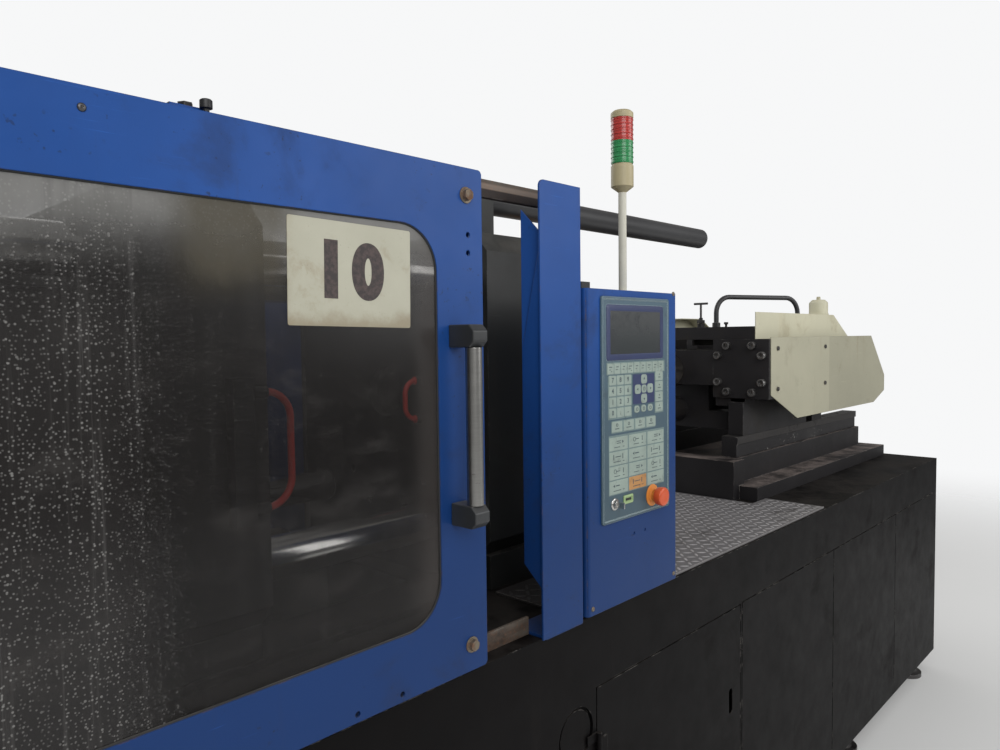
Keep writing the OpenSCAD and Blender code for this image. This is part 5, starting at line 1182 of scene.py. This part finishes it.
class MACHINE_OT_console(bpy.types.Operator):
    """Dresses the console and builds its keypad, display, lock and stop button"""

    bl_idname = "machine.console"
    bl_label = "Operator Console"

    def execute(self, context):
        low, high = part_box("console_box")
        hinge_foot = 1.6025
        dressed("console_box", ["gate_enamel", "black_plastic"], lambda centre: int(centre.z > hinge_foot),
                [(None, 0.0015, 2)])
        self.keypad()
        self.stop_button()
        self.key_lock()
        spots = [(high.x - 0.016, low.y, low.z + 0.014), (low.x + 0.016, low.y, low.z + 0.014),
                 (high.x - 0.016, low.y, high.z - 0.015)]
        screws = fittings("console_screws", button_head(0.0050, 0.0022), spots, FORWARD, "rusty_bolt")
        settle(screws, "machine")
        return {"FINISHED"}

    def keypad(self):
        """Film with a raised rim, the display's navy bezel and its pane, then the keys."""
        low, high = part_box("keypad_panel")
        widen, front = 0.009, PANEL_FACE - 0.0012
        x, z, width, height = low.x - widen, low.z + 0.004, high.x - low.x + widen, high.z - low.z
        panel = Shape("keypad_sheet", "keypad_film", "bezel_navy")
        panel.stepped(x, z, width, height, front, (
            (0.0, 0.005, 0.0051), (0.0, 0.005, 0.0012), (0.0012, 0.00428, 0.0), (0.0052, 0.00188, 0.0),
            (0.0062, 0.00128, 0.0014)))
        screen_low, screen_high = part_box("display_screen")
        sx, sz = screen_low.x - 0.006, screen_low.z - 0.005
        sw, sh = screen_high.x - 0.013 - sx, screen_high.z + 0.003 - sz
        panel.stepped(sx - 0.0135, sz - 0.0125, sw + 0.027, sh + 0.025, front, (
            (0.0, 0.006, 0.0016), (0.0005, 0.005825, 0.0004), (0.0016, 0.00544, -0.0003),
            (0.0115, 0.001975, -0.0008), (0.0130, 0.0015, 0.0002), (0.0133, 0.0015, 0.0012)), 1)
        settle(panel.done(50.0), "machine", ["keypad_panel"])
        glass = Shape("display_pane", "display_glass")
        glass.stepped(sx - 0.0004, sz - 0.0004, sw + 0.0008, sh + 0.0008, front, (
            (0.0, 0.002, 0.0013), (0.0, 0.002, 0.0004), (0.004, 0.002, 0.0002)))
        settle(glass.done(60.0), "machine", ["display_screen"])
        self.keys(x + 0.0035, z + 0.002, front + 0.0014)

    def keys(self, x, z, face):
        """Fields of keys, in metres from the keypad's corner: place, counts, key size, step and corner."""
        for name, dx, dz, nx, nz, w, h, step_x, step_z, corner, colour in (
                ("strip", 0.0140, 0.299, 9, 1, 0.0222, 0.022, 0.0235, 0.0, 0.0015, "key_pale"),
                ("numbers", 0.0195, 0.2105, 3, 4, 0.0250, 0.0198, 0.027, 0.022, 0.0025, "key_pale"),
                ("column", 0.1905, 0.2110, 1, 4, 0.0300, 0.0210, 0.0, 0.0225, 0.0020, "key_pale"),
                ("moves", 0.110, 0.215, 3, 1, 0.019, 0.015, 0.0255, 0.0, 0.0060, "key_pale"),
                ("row", 0.0285, 0.181, 4, 1, 0.0375, 0.0220, 0.042, 0.0, 0.0020, "key_pale"),
                ("left_pad", 0.0195, 0.055, 1, 4, 0.0660, 0.0278, 0.0, 0.0295, 0.0015, "key_pale"),
                ("middle_pad", 0.0890, 0.0845, 1, 3, 0.0660, 0.0278, 0.0, 0.0295, 0.0015, "key_pale"),
                ("right_pad", 0.1585, 0.055, 1, 4, 0.0660, 0.0278, 0.0, 0.0295, 0.0015, "key_pale"),
                ("start_key", 0.0890, 0.055, 1, 1, 0.0660, 0.0278, 0.0, 0.0, 0.0015, "key_orange")):
            piece = pattern("keys_" + name, "Key Field", {
                "Columns": nx, "Rows": nz, "Step Across": step_x, "Step Up": step_z, "Key Width": w,
                "Key Height": h, "Key Depth": 0.0011, "Corner": corner,
                "Start": (x + dx + w / 2, face, z + dz + h / 2), "Finish": finish(colour)})
            settle(piece, "machine")
        grounds = Shape("key_grounds", "key_ground", "bezel_navy")
        for a, b, w, h, index in ((0.012, 0.2975, 0.217, 0.0255, 0), (0.0165, 0.2075, 0.085, 0.0885, 0),
                                  (0.1060, 0.2330, 0.081, 0.0625, 1), (0.1885, 0.2085, 0.035, 0.0875, 0),
                                  (0.0275, 0.1790, 0.164, 0.0255, 0), (0.0180, 0.0535, 0.208, 0.1215, 0)):
            grounds.plate(rounded_outline(w, h, 0.002, 3), (x + a, face + 0.0001, z + b), 0.0004, index)
        settle(grounds.done(50.0), "machine")
        cross = Shape("keys_cross", "key_pale")
        middle, reach_x, reach_z = (0.1465, 0.264), 0.0235, 0.0205
        for a, b in ((0.0, 0.0), (reach_x, 0.0), (-reach_x, 0.0), (0.0, reach_z), (0.0, -reach_z)):
            w, h = (0.0225, 0.0195) if a or b else (0.0190, 0.0170)
            cross.stepped(x + middle[0] + a - w / 2, z + middle[1] + b - h / 2, w, h, face, (
                (0.0, 0.006, 0.0), (0.0, 0.006, -0.0008), (0.0008, 0.0055, -0.0012)))
        settle(cross.done(50.0), "machine")
        self.marks(x, z, face - 0.00122, middle)
        self.digits(x + 0.032, z + 0.2205, face - 0.00122)

    def marks(self, x, z, face, middle):
        """Plain signs on the keys: arrows on the cross, bars, rings and arrows elsewhere."""
        signs = Shape("key_signs", "key_mark")
        place, depth = (x, face + 0.0001, z), 0.00012

        def bar(a, b, w, h):
            signs.plate([(a + p * w / 2, b + q * h / 2) for p, q in ((-1, -1), (1, -1), (1, 1), (-1, 1))],
                        place, depth)

        def arrow(a, b, size, angle):
            cos, sin = math.cos(math.radians(angle)), math.sin(math.radians(angle))
            outline = [(0.0, size), (-size * 0.8, -size * 0.5), (size * 0.8, -size * 0.5)]
            signs.plate([(a + p * cos - q * sin, b + p * sin + q * cos) for p, q in outline], place, depth)

        def ring(a, b, r):
            turns = [i * math.pi / 8 for i in range(17)]
            circle = [(x + a + r * math.cos(turn), face, z + b + r * math.sin(turn)) for turn in turns]
            signs.tube(circle, 0.0005, sides=6)

        mid_x, mid_z = middle
        for a, b, angle in ((0.0245, 0.0, -90), (-0.0245, 0.0, 90), (0.0, 0.0215, 0), (0.0, -0.0215, 180)):
            arrow(mid_x + a, mid_z + b, 0.0038, angle)
        ring(mid_x, mid_z, 0.0035)
        for i in range(9):
            a = 0.025 + i * 0.0235
            bar(a, 0.3135, 0.010 - 0.002 * (i % 3), 0.0016)
            bar(a - 0.002, 0.308, 0.006 + 0.002 * (i % 2), 0.0012)
            if i % 3 == 0:
                bar(a + 0.003, 0.3045, 0.004, 0.0012)
        for i in range(4):
            b = 0.2215 + i * 0.0225
            bar(0.206, b - 0.003, 0.012 - 0.003 * (i % 2), 0.0016)
            arrow(0.206, b + 0.003, 0.0026, 90 * i)
            bar(0.0465 + i * 0.042, 0.188, 0.014 + 0.003 * (i % 2), 0.0016)
            ring(0.0465 + i * 0.042, 0.1955, 0.003)
        for i in range(3):
            ring(0.1195 + i * 0.0255, 0.2225, 0.0032)
        kinds = (
            ((arrow, -0.016, 0.003, 0.004, 90), (bar, -0.004, 0.003, 0.014, 0.0022)),
            ((ring, -0.013, 0.003, 0.0042), (bar, -0.002, 0.003, 0.012, 0.0016),
             (bar, 0.016, 0.003, 0.0022, 0.010)),
            ((bar, -0.018, 0.003, 0.0024, 0.010), (bar, 0.014, 0.003, 0.0024, 0.010),
             (bar, -0.002, 0.003, 0.020, 0.0016)),
            ((arrow, 0.014, 0.003, 0.004, -90), (bar, 0.0, 0.005, 0.014, 0.0016),
             (bar, 0.0, 0.001, 0.014, 0.0016)))
        for column in range(3):
            for row in range(4):
                a, b = 0.052 + column * 0.070, 0.069 + row * 0.0295
                kind = (column * 2 + row) % 4
                for sign, across, up, *size in kinds[kind]:
                    sign(a + across, b + up, *size)
                bar(a - 0.006, b - 0.007, 0.026 - 0.006 * (kind % 2), 0.0014)
                bar(a + 0.017, b - 0.007, 0.006, 0.0014)
        settle(signs.done(60.0), "machine")

    def digits(self, x, z, face):
        """Numbers on the number field, from its lowest row up."""
        bm = bmesh.new()
        for i, digit in enumerate("0.-123456789"):
            mesh = written(digit, 0.0135, 0.0003, resolution=3)
            mesh.transform(Matrix.Translation((x + (i % 3) * 0.027, face, z + (i // 3) * 0.022)))
            bm.from_mesh(mesh)
            bpy.data.meshes.remove(mesh)
        mesh = bpy.data.meshes.new("key_digits")
        bm.to_mesh(mesh)
        bm.free()
        mesh.materials.append(finish("key_mark"))
        settle(add_object("key_digits", mesh), "machine")

    def stop_button(self):
        """Cap and stem that are pressed, and the collar that stands still on the panel."""
        low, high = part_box("estop_button")
        x, z, seat = (low.x + high.x) / 2, (low.z + high.z) / 2, PANEL_FACE + 0.0040
        reach = seat - low.y
        stop = Shape("stop_button", "stop_cap", "stop_ring")
        stop.turn((x, seat, z), FORWARD, [(0.0105, 0.0), (0.0105, 0.0160), (0.0125, 0.0176)], 1, 36)
        stop.turn((x, seat, z), FORWARD, [
            (0.0120, 0.0168), (0.0168, 0.0176), (0.0188, 0.0196), (0.0200, reach - 0.0095),
            (0.0200, reach - 0.0035), (0.0186, reach - 0.0010), (0.0150, reach - 0.0001),
            (0.0080, reach - 0.0006), (0.0010, reach - 0.0008)], 0, 48)
        settle(stop.done(48.0), "estop_body", ["estop_button"])
        ring = Shape("stop_ring_plate", "stop_ring")
        ring.turn((x, PANEL_FACE, z), FORWARD, [
            (0.0112, 0.0), (0.0235, 0.0), (0.0235, 0.0012), (0.0225, 0.0018), (0.0150, 0.0018),
            (0.0145, 0.0022), (0.0145, 0.0050), (0.0137, 0.0058), (0.0112, 0.0058)], 0, 48, True)
        settle(ring.done(48.0), "machine")

    def key_lock(self):
        """The lock that the key turns, its collar, and the green port beside it."""
        low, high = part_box("key_switch")
        x, z = (low.x + high.x) / 2, (low.z + high.z) / 2
        lock = Shape("key_lock", "lock_chrome")
        lock.turn((x, PANEL_FACE + 0.0035, z), FORWARD, [
            (0.0078, 0.0), (0.0078, 0.0095), (0.0070, 0.0108), (0.0052, 0.0108), (0.0050, 0.0098)], 0, 36)
        lock.box((x - 0.0011, low.y + 0.0002, z - 0.0065), (x + 0.0011, PANEL_FACE - 0.0055, z + 0.0065), 0,
                 0.0005)
        settle(lock.done(48.0), "key_body", ["key_switch"])
        collar = Shape("lock_collar", "lock_chrome", "port_green", "black_plastic")
        collar.turn((x, PANEL_FACE, z), FORWARD, [
            (0.0125, 0.0), (0.0125, 0.0012), (0.0112, 0.0026), (0.0084, 0.0026), (0.0083, 0.0)], 0, 36)
        px, pz = x + 0.031, z - 0.0055
        collar.stepped(px, pz, 0.034, 0.018, PANEL_FACE, (
            (0.0, 0.003, 0.0002), (0.0, 0.003, -0.0018), (0.0015, 0.002, -0.0026), (0.004, 0.001, -0.0026),
            (0.0045, 0.001, -0.0006)), 1)
        collar.box((px + 0.0075, PANEL_FACE - 0.0018, pz + 0.0065),
                   (px + 0.0265, PANEL_FACE - 0.0005, pz + 0.0115), 2, 0.0004)
        settle(collar.done(48.0), "machine")


class MACHINE_OT_signal_tower(bpy.types.Operator):
    """Dresses the signal tower's pole, lenses and cap"""

    bl_idname = "machine.signal_tower"
    bl_label = "Signal Tower"

    def execute(self, context):
        pole_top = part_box("signal_pole")[1].z - 0.0645
        dressed("signal_pole", ["pole_plastic", "tower_plastic"], lambda centre: int(centre.z >= pole_top),
                [(None, 0.0006, 2)])
        plain("lens_green", 0.0004, 1, "lens_green")
        plain("lens_red", 0.0004, 1, "lens_red")
        plain("tower_plastic", 0.0010, 2, "signal_cap")
        return {"FINISHED"}


class MACHINE_OT_hoses(bpy.types.Operator):
    """Dresses the red coolant hoses and their fittings"""

    bl_idname = "machine.hoses"
    bl_label = "Coolant Hoses"

    def execute(self, context):
        block_face, fitting_face = -0.5198, -0.0038
        for node, fitted in (("platen_hose", lambda centre: int(centre.x < block_face)),
                             ("fixed_hose", lambda centre: int(centre.x > fitting_face))):
            dressed(node, ["rubber_hose", "platen_paint"], fitted, [(None, 0.0005, 1)])
        return {"FINISHED"}


class MACHINE_OT_tread_plate(bpy.types.Operator):
    """Dresses the tread plate and raises its lugs"""

    bl_idname = "machine.tread_plate"
    bl_label = "Tread Plate"

    def execute(self, context):
        plain("tread_steel", 0.0012, 2, "tread_plate")
        low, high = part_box("tread_plate")
        pitch = sizes().lug_pitch
        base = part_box("injection_base")[0]
        console_low, console_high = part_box("console_box")
        # Grounds without lugs, as X from and to and Y from and to
        far = 9.0
        bare = ((-far, 0.262, -0.382, far),
                (base.x - 0.025, far, base.y + 0.042, far),
                (1.19, far, -0.415, far),
                (console_low.x - 0.015, console_high.x + 0.015, -far, console_high.y + 0.015))
        spots, leans = [], []
        for i in range(int((high.x - low.x) / pitch)):
            for j in range(int((high.y - low.y) / pitch)):
                x, y = low.x + (i + 0.5) * pitch, low.y + (j + 0.5) * pitch
                if not any(x0 < x < x1 and y0 < y < y1 for x0, x1, y0, y1 in bare):
                    spots.append((x, y, high.z - 0.0002))
                    leans.append(math.radians(45 if (i + j) % 2 else -45))
        lugs = pattern("tread_lugs", "Tread Lugs", {
            "Lug Length": sizes().lug_length, "Lug Width": sizes().lug_width,
            "Lug Height": sizes().lug_height,
            "Finish": finish("tread_steel")}, spots, ("lean", "FLOAT", leans))
        settle(lugs, "machine")
        return {"FINISHED"}


class MACHINE_OT_injection_unit(bpy.types.Operator):
    """Dresses the injection unit: bed, rails, cylinders, plate, barrel, covers and oil pipe"""

    bl_idname = "machine.injection_unit"
    bl_label = "Injection Unit"

    def execute(self, context):
        small = sizes().edge_round
        plain("bed_paint", small * 1.4, 2, "injection_base")
        plain("casting_paint", small * 1.4, 2, "carriage_frame", "injection_cylinders", "hopper_plate")
        rail_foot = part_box("injection_rails")[1].z - 0.0265
        dressed("injection_rails", ["rail_paint", "rail_top"], lambda centre: int(centre.z > rail_foot),
                [(None, 0.0006, 1)])
        plain("sleeve_paint", 0.0012, 2, "safety_bar_sleeve")
        rod_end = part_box("crosshead")[1].x - 0.1202
        dressed("crosshead", ["casting_paint", "chrome_bar"], lambda centre: int(centre.x < rod_end),
                [(None, small, 2)])
        plain("pump_paint", 0.0008, 1, "hydraulic_motor")
        plain("barrel_steel", 0.0008, 1, "barrel")
        plain("heater_metal", 0.0006, 1, "heater_bands")
        plain("barrel_steel", 0.0006, 1, "nozzle")
        plain("screw_steel", 0.0008, 2, "valve_handle")
        sheet_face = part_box("side_covers")[1].y - 0.0049
        dressed("side_covers", ["cover_paint", "screw_steel"],
                lambda centre: int(abs(centre.y) > sheet_face), [(None, 0.0006, 1)])
        self.bolts()
        self.head_feet()
        self.upper_covers()
        self.oil_pipe()
        return {"FINISHED"}

    def head_feet(self):
        """Dark blocks that widen the feet of the four cylinder heads, and a strip under the hopper plate;
        they close see-through slits with dark pieces, standing in for the shade there.
        """
        low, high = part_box("injection_cylinders")
        feet = Shape("head_feet", "casting_paint")
        for x in (low.x + 0.010, low.x + 0.460):
            for inner, outer in ((-0.296, -0.185), (0.185, 0.296)):
                feet.box((x, inner, low.z - 0.030), (x + 0.070, outer, low.z - 0.0002), round_by=0.001)
        feet.box((1.390, -0.082, high.z - 0.022), (1.580, -0.074, high.z - 0.0002), round_by=0.001)
        settle(feet.done(), BODY_OF["carriage_frame"])

    def upper_covers(self):
        """Thin covers on the heads, folded in along their tops and sloped ends, and the breather can."""
        low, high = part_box("injection_cylinders")
        foot_z, top_z = high.z + 0.0002, high.z + 0.094
        start_x, end_x, top_end_x = low.x, low.x + 0.905, low.x + 0.727
        sheet, flange, flange_x = 0.003, 0.080, low.x + 0.550
        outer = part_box("hopper_plate")[1].y + 0.0035
        upright = [(start_x, foot_z), (end_x, foot_z), (top_end_x, top_z), (start_x, top_z)]
        fold = [(top_end_x - 0.6 * sheet, top_z - sheet), (end_x - 2.4 * sheet, foot_z), (end_x, foot_z),
                (top_end_x, top_z), (flange_x, top_z), (flange_x, top_z - sheet)]
        covers = Shape("upper_covers", "hood_paint")
        for side in (-1, 1):
            for outline, inset, depth in ((upright, sheet, sheet), (fold, flange, flange - sheet)):
                along = [(-side * x, z) for x, z in outline[::-side]]
                covers.plate(along, (0, side * (outer - inset), 0), depth, across=(-side, 0, 0))
            inner_y, outer_y = sorted((side * (outer - 0.040), side * (outer - 0.001)))
            for foot_x in (start_x + 0.010, start_x + 0.460):
                covers.box((foot_x, inner_y, high.z), (foot_x + 0.070, outer_y, foot_z + 0.003))
        can = (top_end_x - 0.058, -outer + flange / 2)
        covers.turn((*can, top_z), UP, [(0.039, -0.001), (0.039, 0.005), (0.0365, 0.007), (0.0365, 0.048),
                                        (0.0345, 0.052), (0.0265, 0.060), (0.024, 0.062)], 0, 40)
        covers.turn((*can, top_z + 0.061), UP, [(0.0080, 0.0), (0.0080, 0.010), (0.0065, 0.014)], 0, 20)
        settle(covers.done(35.0), BODY_OF["hood"], ["hood"])

    def oil_pipe(self):
        """Bent pipe from the hopper plate over to the rear head, with a hexagon fitting at each foot."""
        heads_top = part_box("injection_cylinders")[1].z
        top, bend, radius = heads_top + 0.159, 0.060, 0.009
        start, end = Vector((1.470, -0.130, heads_top + 0.045)), Vector((1.845, -0.284, heads_top))
        ahead = Vector((end.x - start.x, end.y - start.y, 0.0))
        length = ahead.length
        ahead.normalize()
        quarter = [math.radians(90 * i / 8) for i in range(9)]
        steps = [(bend * (1 - math.cos(angle)), bend * math.sin(angle)) for angle in quarter]
        steps += [(length - bend * (1 - math.sin(angle)), bend * math.cos(angle)) for angle in quarter]
        route = [Vector((start.x, start.y, top - bend + rise)) + ahead * out for out, rise in steps]
        pipe = Shape("oil_pipe", "sleeve_paint")
        pipe.tube([start, *route, end], radius, sides=20)
        for foot in (start, end):
            pipe.turn(foot, UP, [(0.0150, 0.0002), (0.0150, 0.016), (0.0125, 0.018)], 0, 6)
        settle(pipe.done(), BODY_OF["bent_pipe"], ["bent_pipe"])

    def bolts(self):
        """Socket screws in pairs at the corners of the two front heads."""
        low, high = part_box("cylinder_head_bolts")
        heads_low, heads_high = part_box("injection_cylinders")
        half_head, ring = 0.104, 0.094
        middle_z = (low.z + high.z) / 2
        spots = []
        for axis_y in (half_head - heads_high.y, heads_high.y - half_head):
            for i in range(8):
                angle = math.radians(45 + 90 * (i // 2) + (15 if i % 2 else -15))
                across, rise = ring * math.cos(angle), ring * math.sin(angle)
                spots.append((heads_low.x, axis_y + across, middle_z + rise))
        screw = socket_head(0.0137, 0.0200)
        screws = fittings("cylinder_cap_screws", screw, spots, (-1.0, 0.0, 0.0), "cap_screw")
        settle(screws, "carriage", ["cylinder_head_bolts"])


class MACHINE_OT_studio(bpy.types.Operator):
    """Makes the floor, the soft lights, the white surround and the camera"""

    bl_idname = "machine.studio"
    bl_label = "Studio"

    def execute(self, context):
        self.floor()
        self.surround()
        self.lamp("key_light", (-2.6, -4.6, 4.4), (0.2, 0.0, 1.0), 4.5, 165.0)
        self.lamp("fill_light", (3.6, -5.0, 3.4), (0.8, 0.0, 1.0), 4.0, 95.0)
        self.lamp("rear_light", (0.5, 5.0, 4.2), (0.0, 0.0, 1.0), 4.5, 110.0)
        self.camera()
        return {"FINISHED"}

    def floor(self):
        """Pale floor that fades out far from the machine."""
        bm = bmesh.new()
        bmesh.ops.create_grid(bm, x_segments=8, y_segments=8, size=30.0)
        mesh = bpy.data.meshes.new("studio_floor")
        bm.to_mesh(mesh)
        bm.free()
        net = Finish("floor_finish")
        cloud = net.noise(net.place(), 0.7, 4.0)
        base = colours().floor
        away = net.add("ShaderNodeVectorMath", {0: net.place()}, operation="LENGTH").outputs["Value"]
        tint = net.blend(cloud, shade(base, 0.98), shade(base, 1.02))
        mesh.materials.append(net.surface({"Base Color": tint, "Roughness": net.remap(cloud, 0.7, 0.8),
                                           "Alpha": net.step(away, 8.5, 3.6)}))
        add_object("studio_floor", mesh)

    def surround(self):
        """White to the camera and through the panes, dimmer as light and in mirrorings."""
        world = bpy.data.worlds.new("studio_surround")
        bpy.context.scene.world = world
        world.use_nodes = True
        world.node_tree.nodes.clear()
        net = Net(world.node_tree)
        rays = net.add("ShaderNodeLightPath").outputs
        seen = net.greatest(rays["Is Camera Ray"], rays["Is Transmission Ray"])
        white = net.add("ShaderNodeBackground", {"Color": (0.93, 0.935, 0.94), "Strength": 1.0})
        soft = net.add("ShaderNodeBackground", {"Color": (1.0, 1.0, 1.0),
                                                "Strength": net.remap(rays["Is Glossy Ray"], 0.50, 0.24)})
        mixed = net.add("ShaderNodeMixShader", {0: seen, 1: soft.outputs[0], 2: white.outputs[0]})
        net.add("ShaderNodeOutputWorld", {0: mixed.outputs[0]})

    def lamp(self, name, place, target, size, power):
        """Round soft light that aims at its target."""
        data = bpy.data.lights.new(name, "AREA")
        data.shape = "DISK"
        data.size = size
        data.energy = power
        lamp = add_object(name, data)
        aim = (Vector(target) - Vector(place)).to_track_quat("-Z", "Y")
        lamp.matrix_world = Matrix.Translation(place) @ aim.to_matrix().to_4x4()

    def camera(self):
        """The photo's camera, from the machine's vanishing points."""
        data = bpy.data.cameras.new("photo_camera")
        data.sensor_fit = "HORIZONTAL"
        data.sensor_width = 36.0
        data.lens = 27.04
        data.clip_start = 0.05
        data.clip_end = 100.0
        camera = add_object("photo_camera", data)
        yaw, pitch, roll = (math.radians(a) for a in (46.4, -2.76, -0.70))
        ahead = Vector((math.sin(yaw) * math.cos(pitch), math.cos(yaw) * math.cos(pitch), math.sin(pitch)))
        right = Vector((math.cos(yaw), -math.sin(yaw), 0.0))
        up = right.cross(ahead)
        side = right * math.cos(roll) + up * math.sin(roll)
        top = up * math.cos(roll) - right * math.sin(roll)
        turn = Matrix((side, top, -ahead)).transposed().to_4x4()
        camera.matrix_world = Matrix.Translation((-1.140, -1.490, 1.506)) @ turn
        bpy.context.scene.camera = camera
        bpy.context.scene.view_settings.view_transform = "Standard"


OPERATORS = (
    MACHINE_OT_frame_castings, MACHINE_OT_bright_bars, MACHINE_OT_guards, MACHINE_OT_gate_trim,
    MACHINE_OT_notice, MACHINE_OT_console, MACHINE_OT_signal_tower, MACHINE_OT_hoses,
    MACHINE_OT_tread_plate, MACHINE_OT_injection_unit, MACHINE_OT_studio,
)


class MACHINE_PT_dressing(bpy.types.Panel):
    """Lists the steps that dress the machine, with its sizes and colours"""

    bl_label = "Moulding Machine"
    bl_idname = "MACHINE_PT_dressing"
    bl_space_type = "VIEW_3D"
    bl_region_type = "UI"
    bl_category = "Moulding Machine"

    def draw(self, context):
        layout = self.layout
        for operator in OPERATORS:
            layout.operator(operator.bl_idname)
        for group in (context.scene.machine_sizes, context.scene.machine_colours):
            box = layout.box()
            for name in group.bl_rna.properties.keys():
                if name not in ("rna_type", "name"):
                    box.prop(group, name)


CLASSES = (MachineColours, MachineSizes, *OPERATORS, MACHINE_PT_dressing)


def register():
    for cls in CLASSES:
        bpy.utils.register_class(cls)
    bpy.types.Scene.machine_colours = PointerProperty(type=MachineColours)
    bpy.types.Scene.machine_sizes = PointerProperty(type=MachineSizes)


def unregister():
    del bpy.types.Scene.machine_sizes
    del bpy.types.Scene.machine_colours
    for cls in reversed(CLASSES):
        bpy.utils.unregister_class(cls)


def main():
    register()
    for operator in OPERATORS:
        group, name = operator.bl_idname.split(".")
        getattr(getattr(bpy.ops, group), name)()


if __name__ == "__main__":
    main()
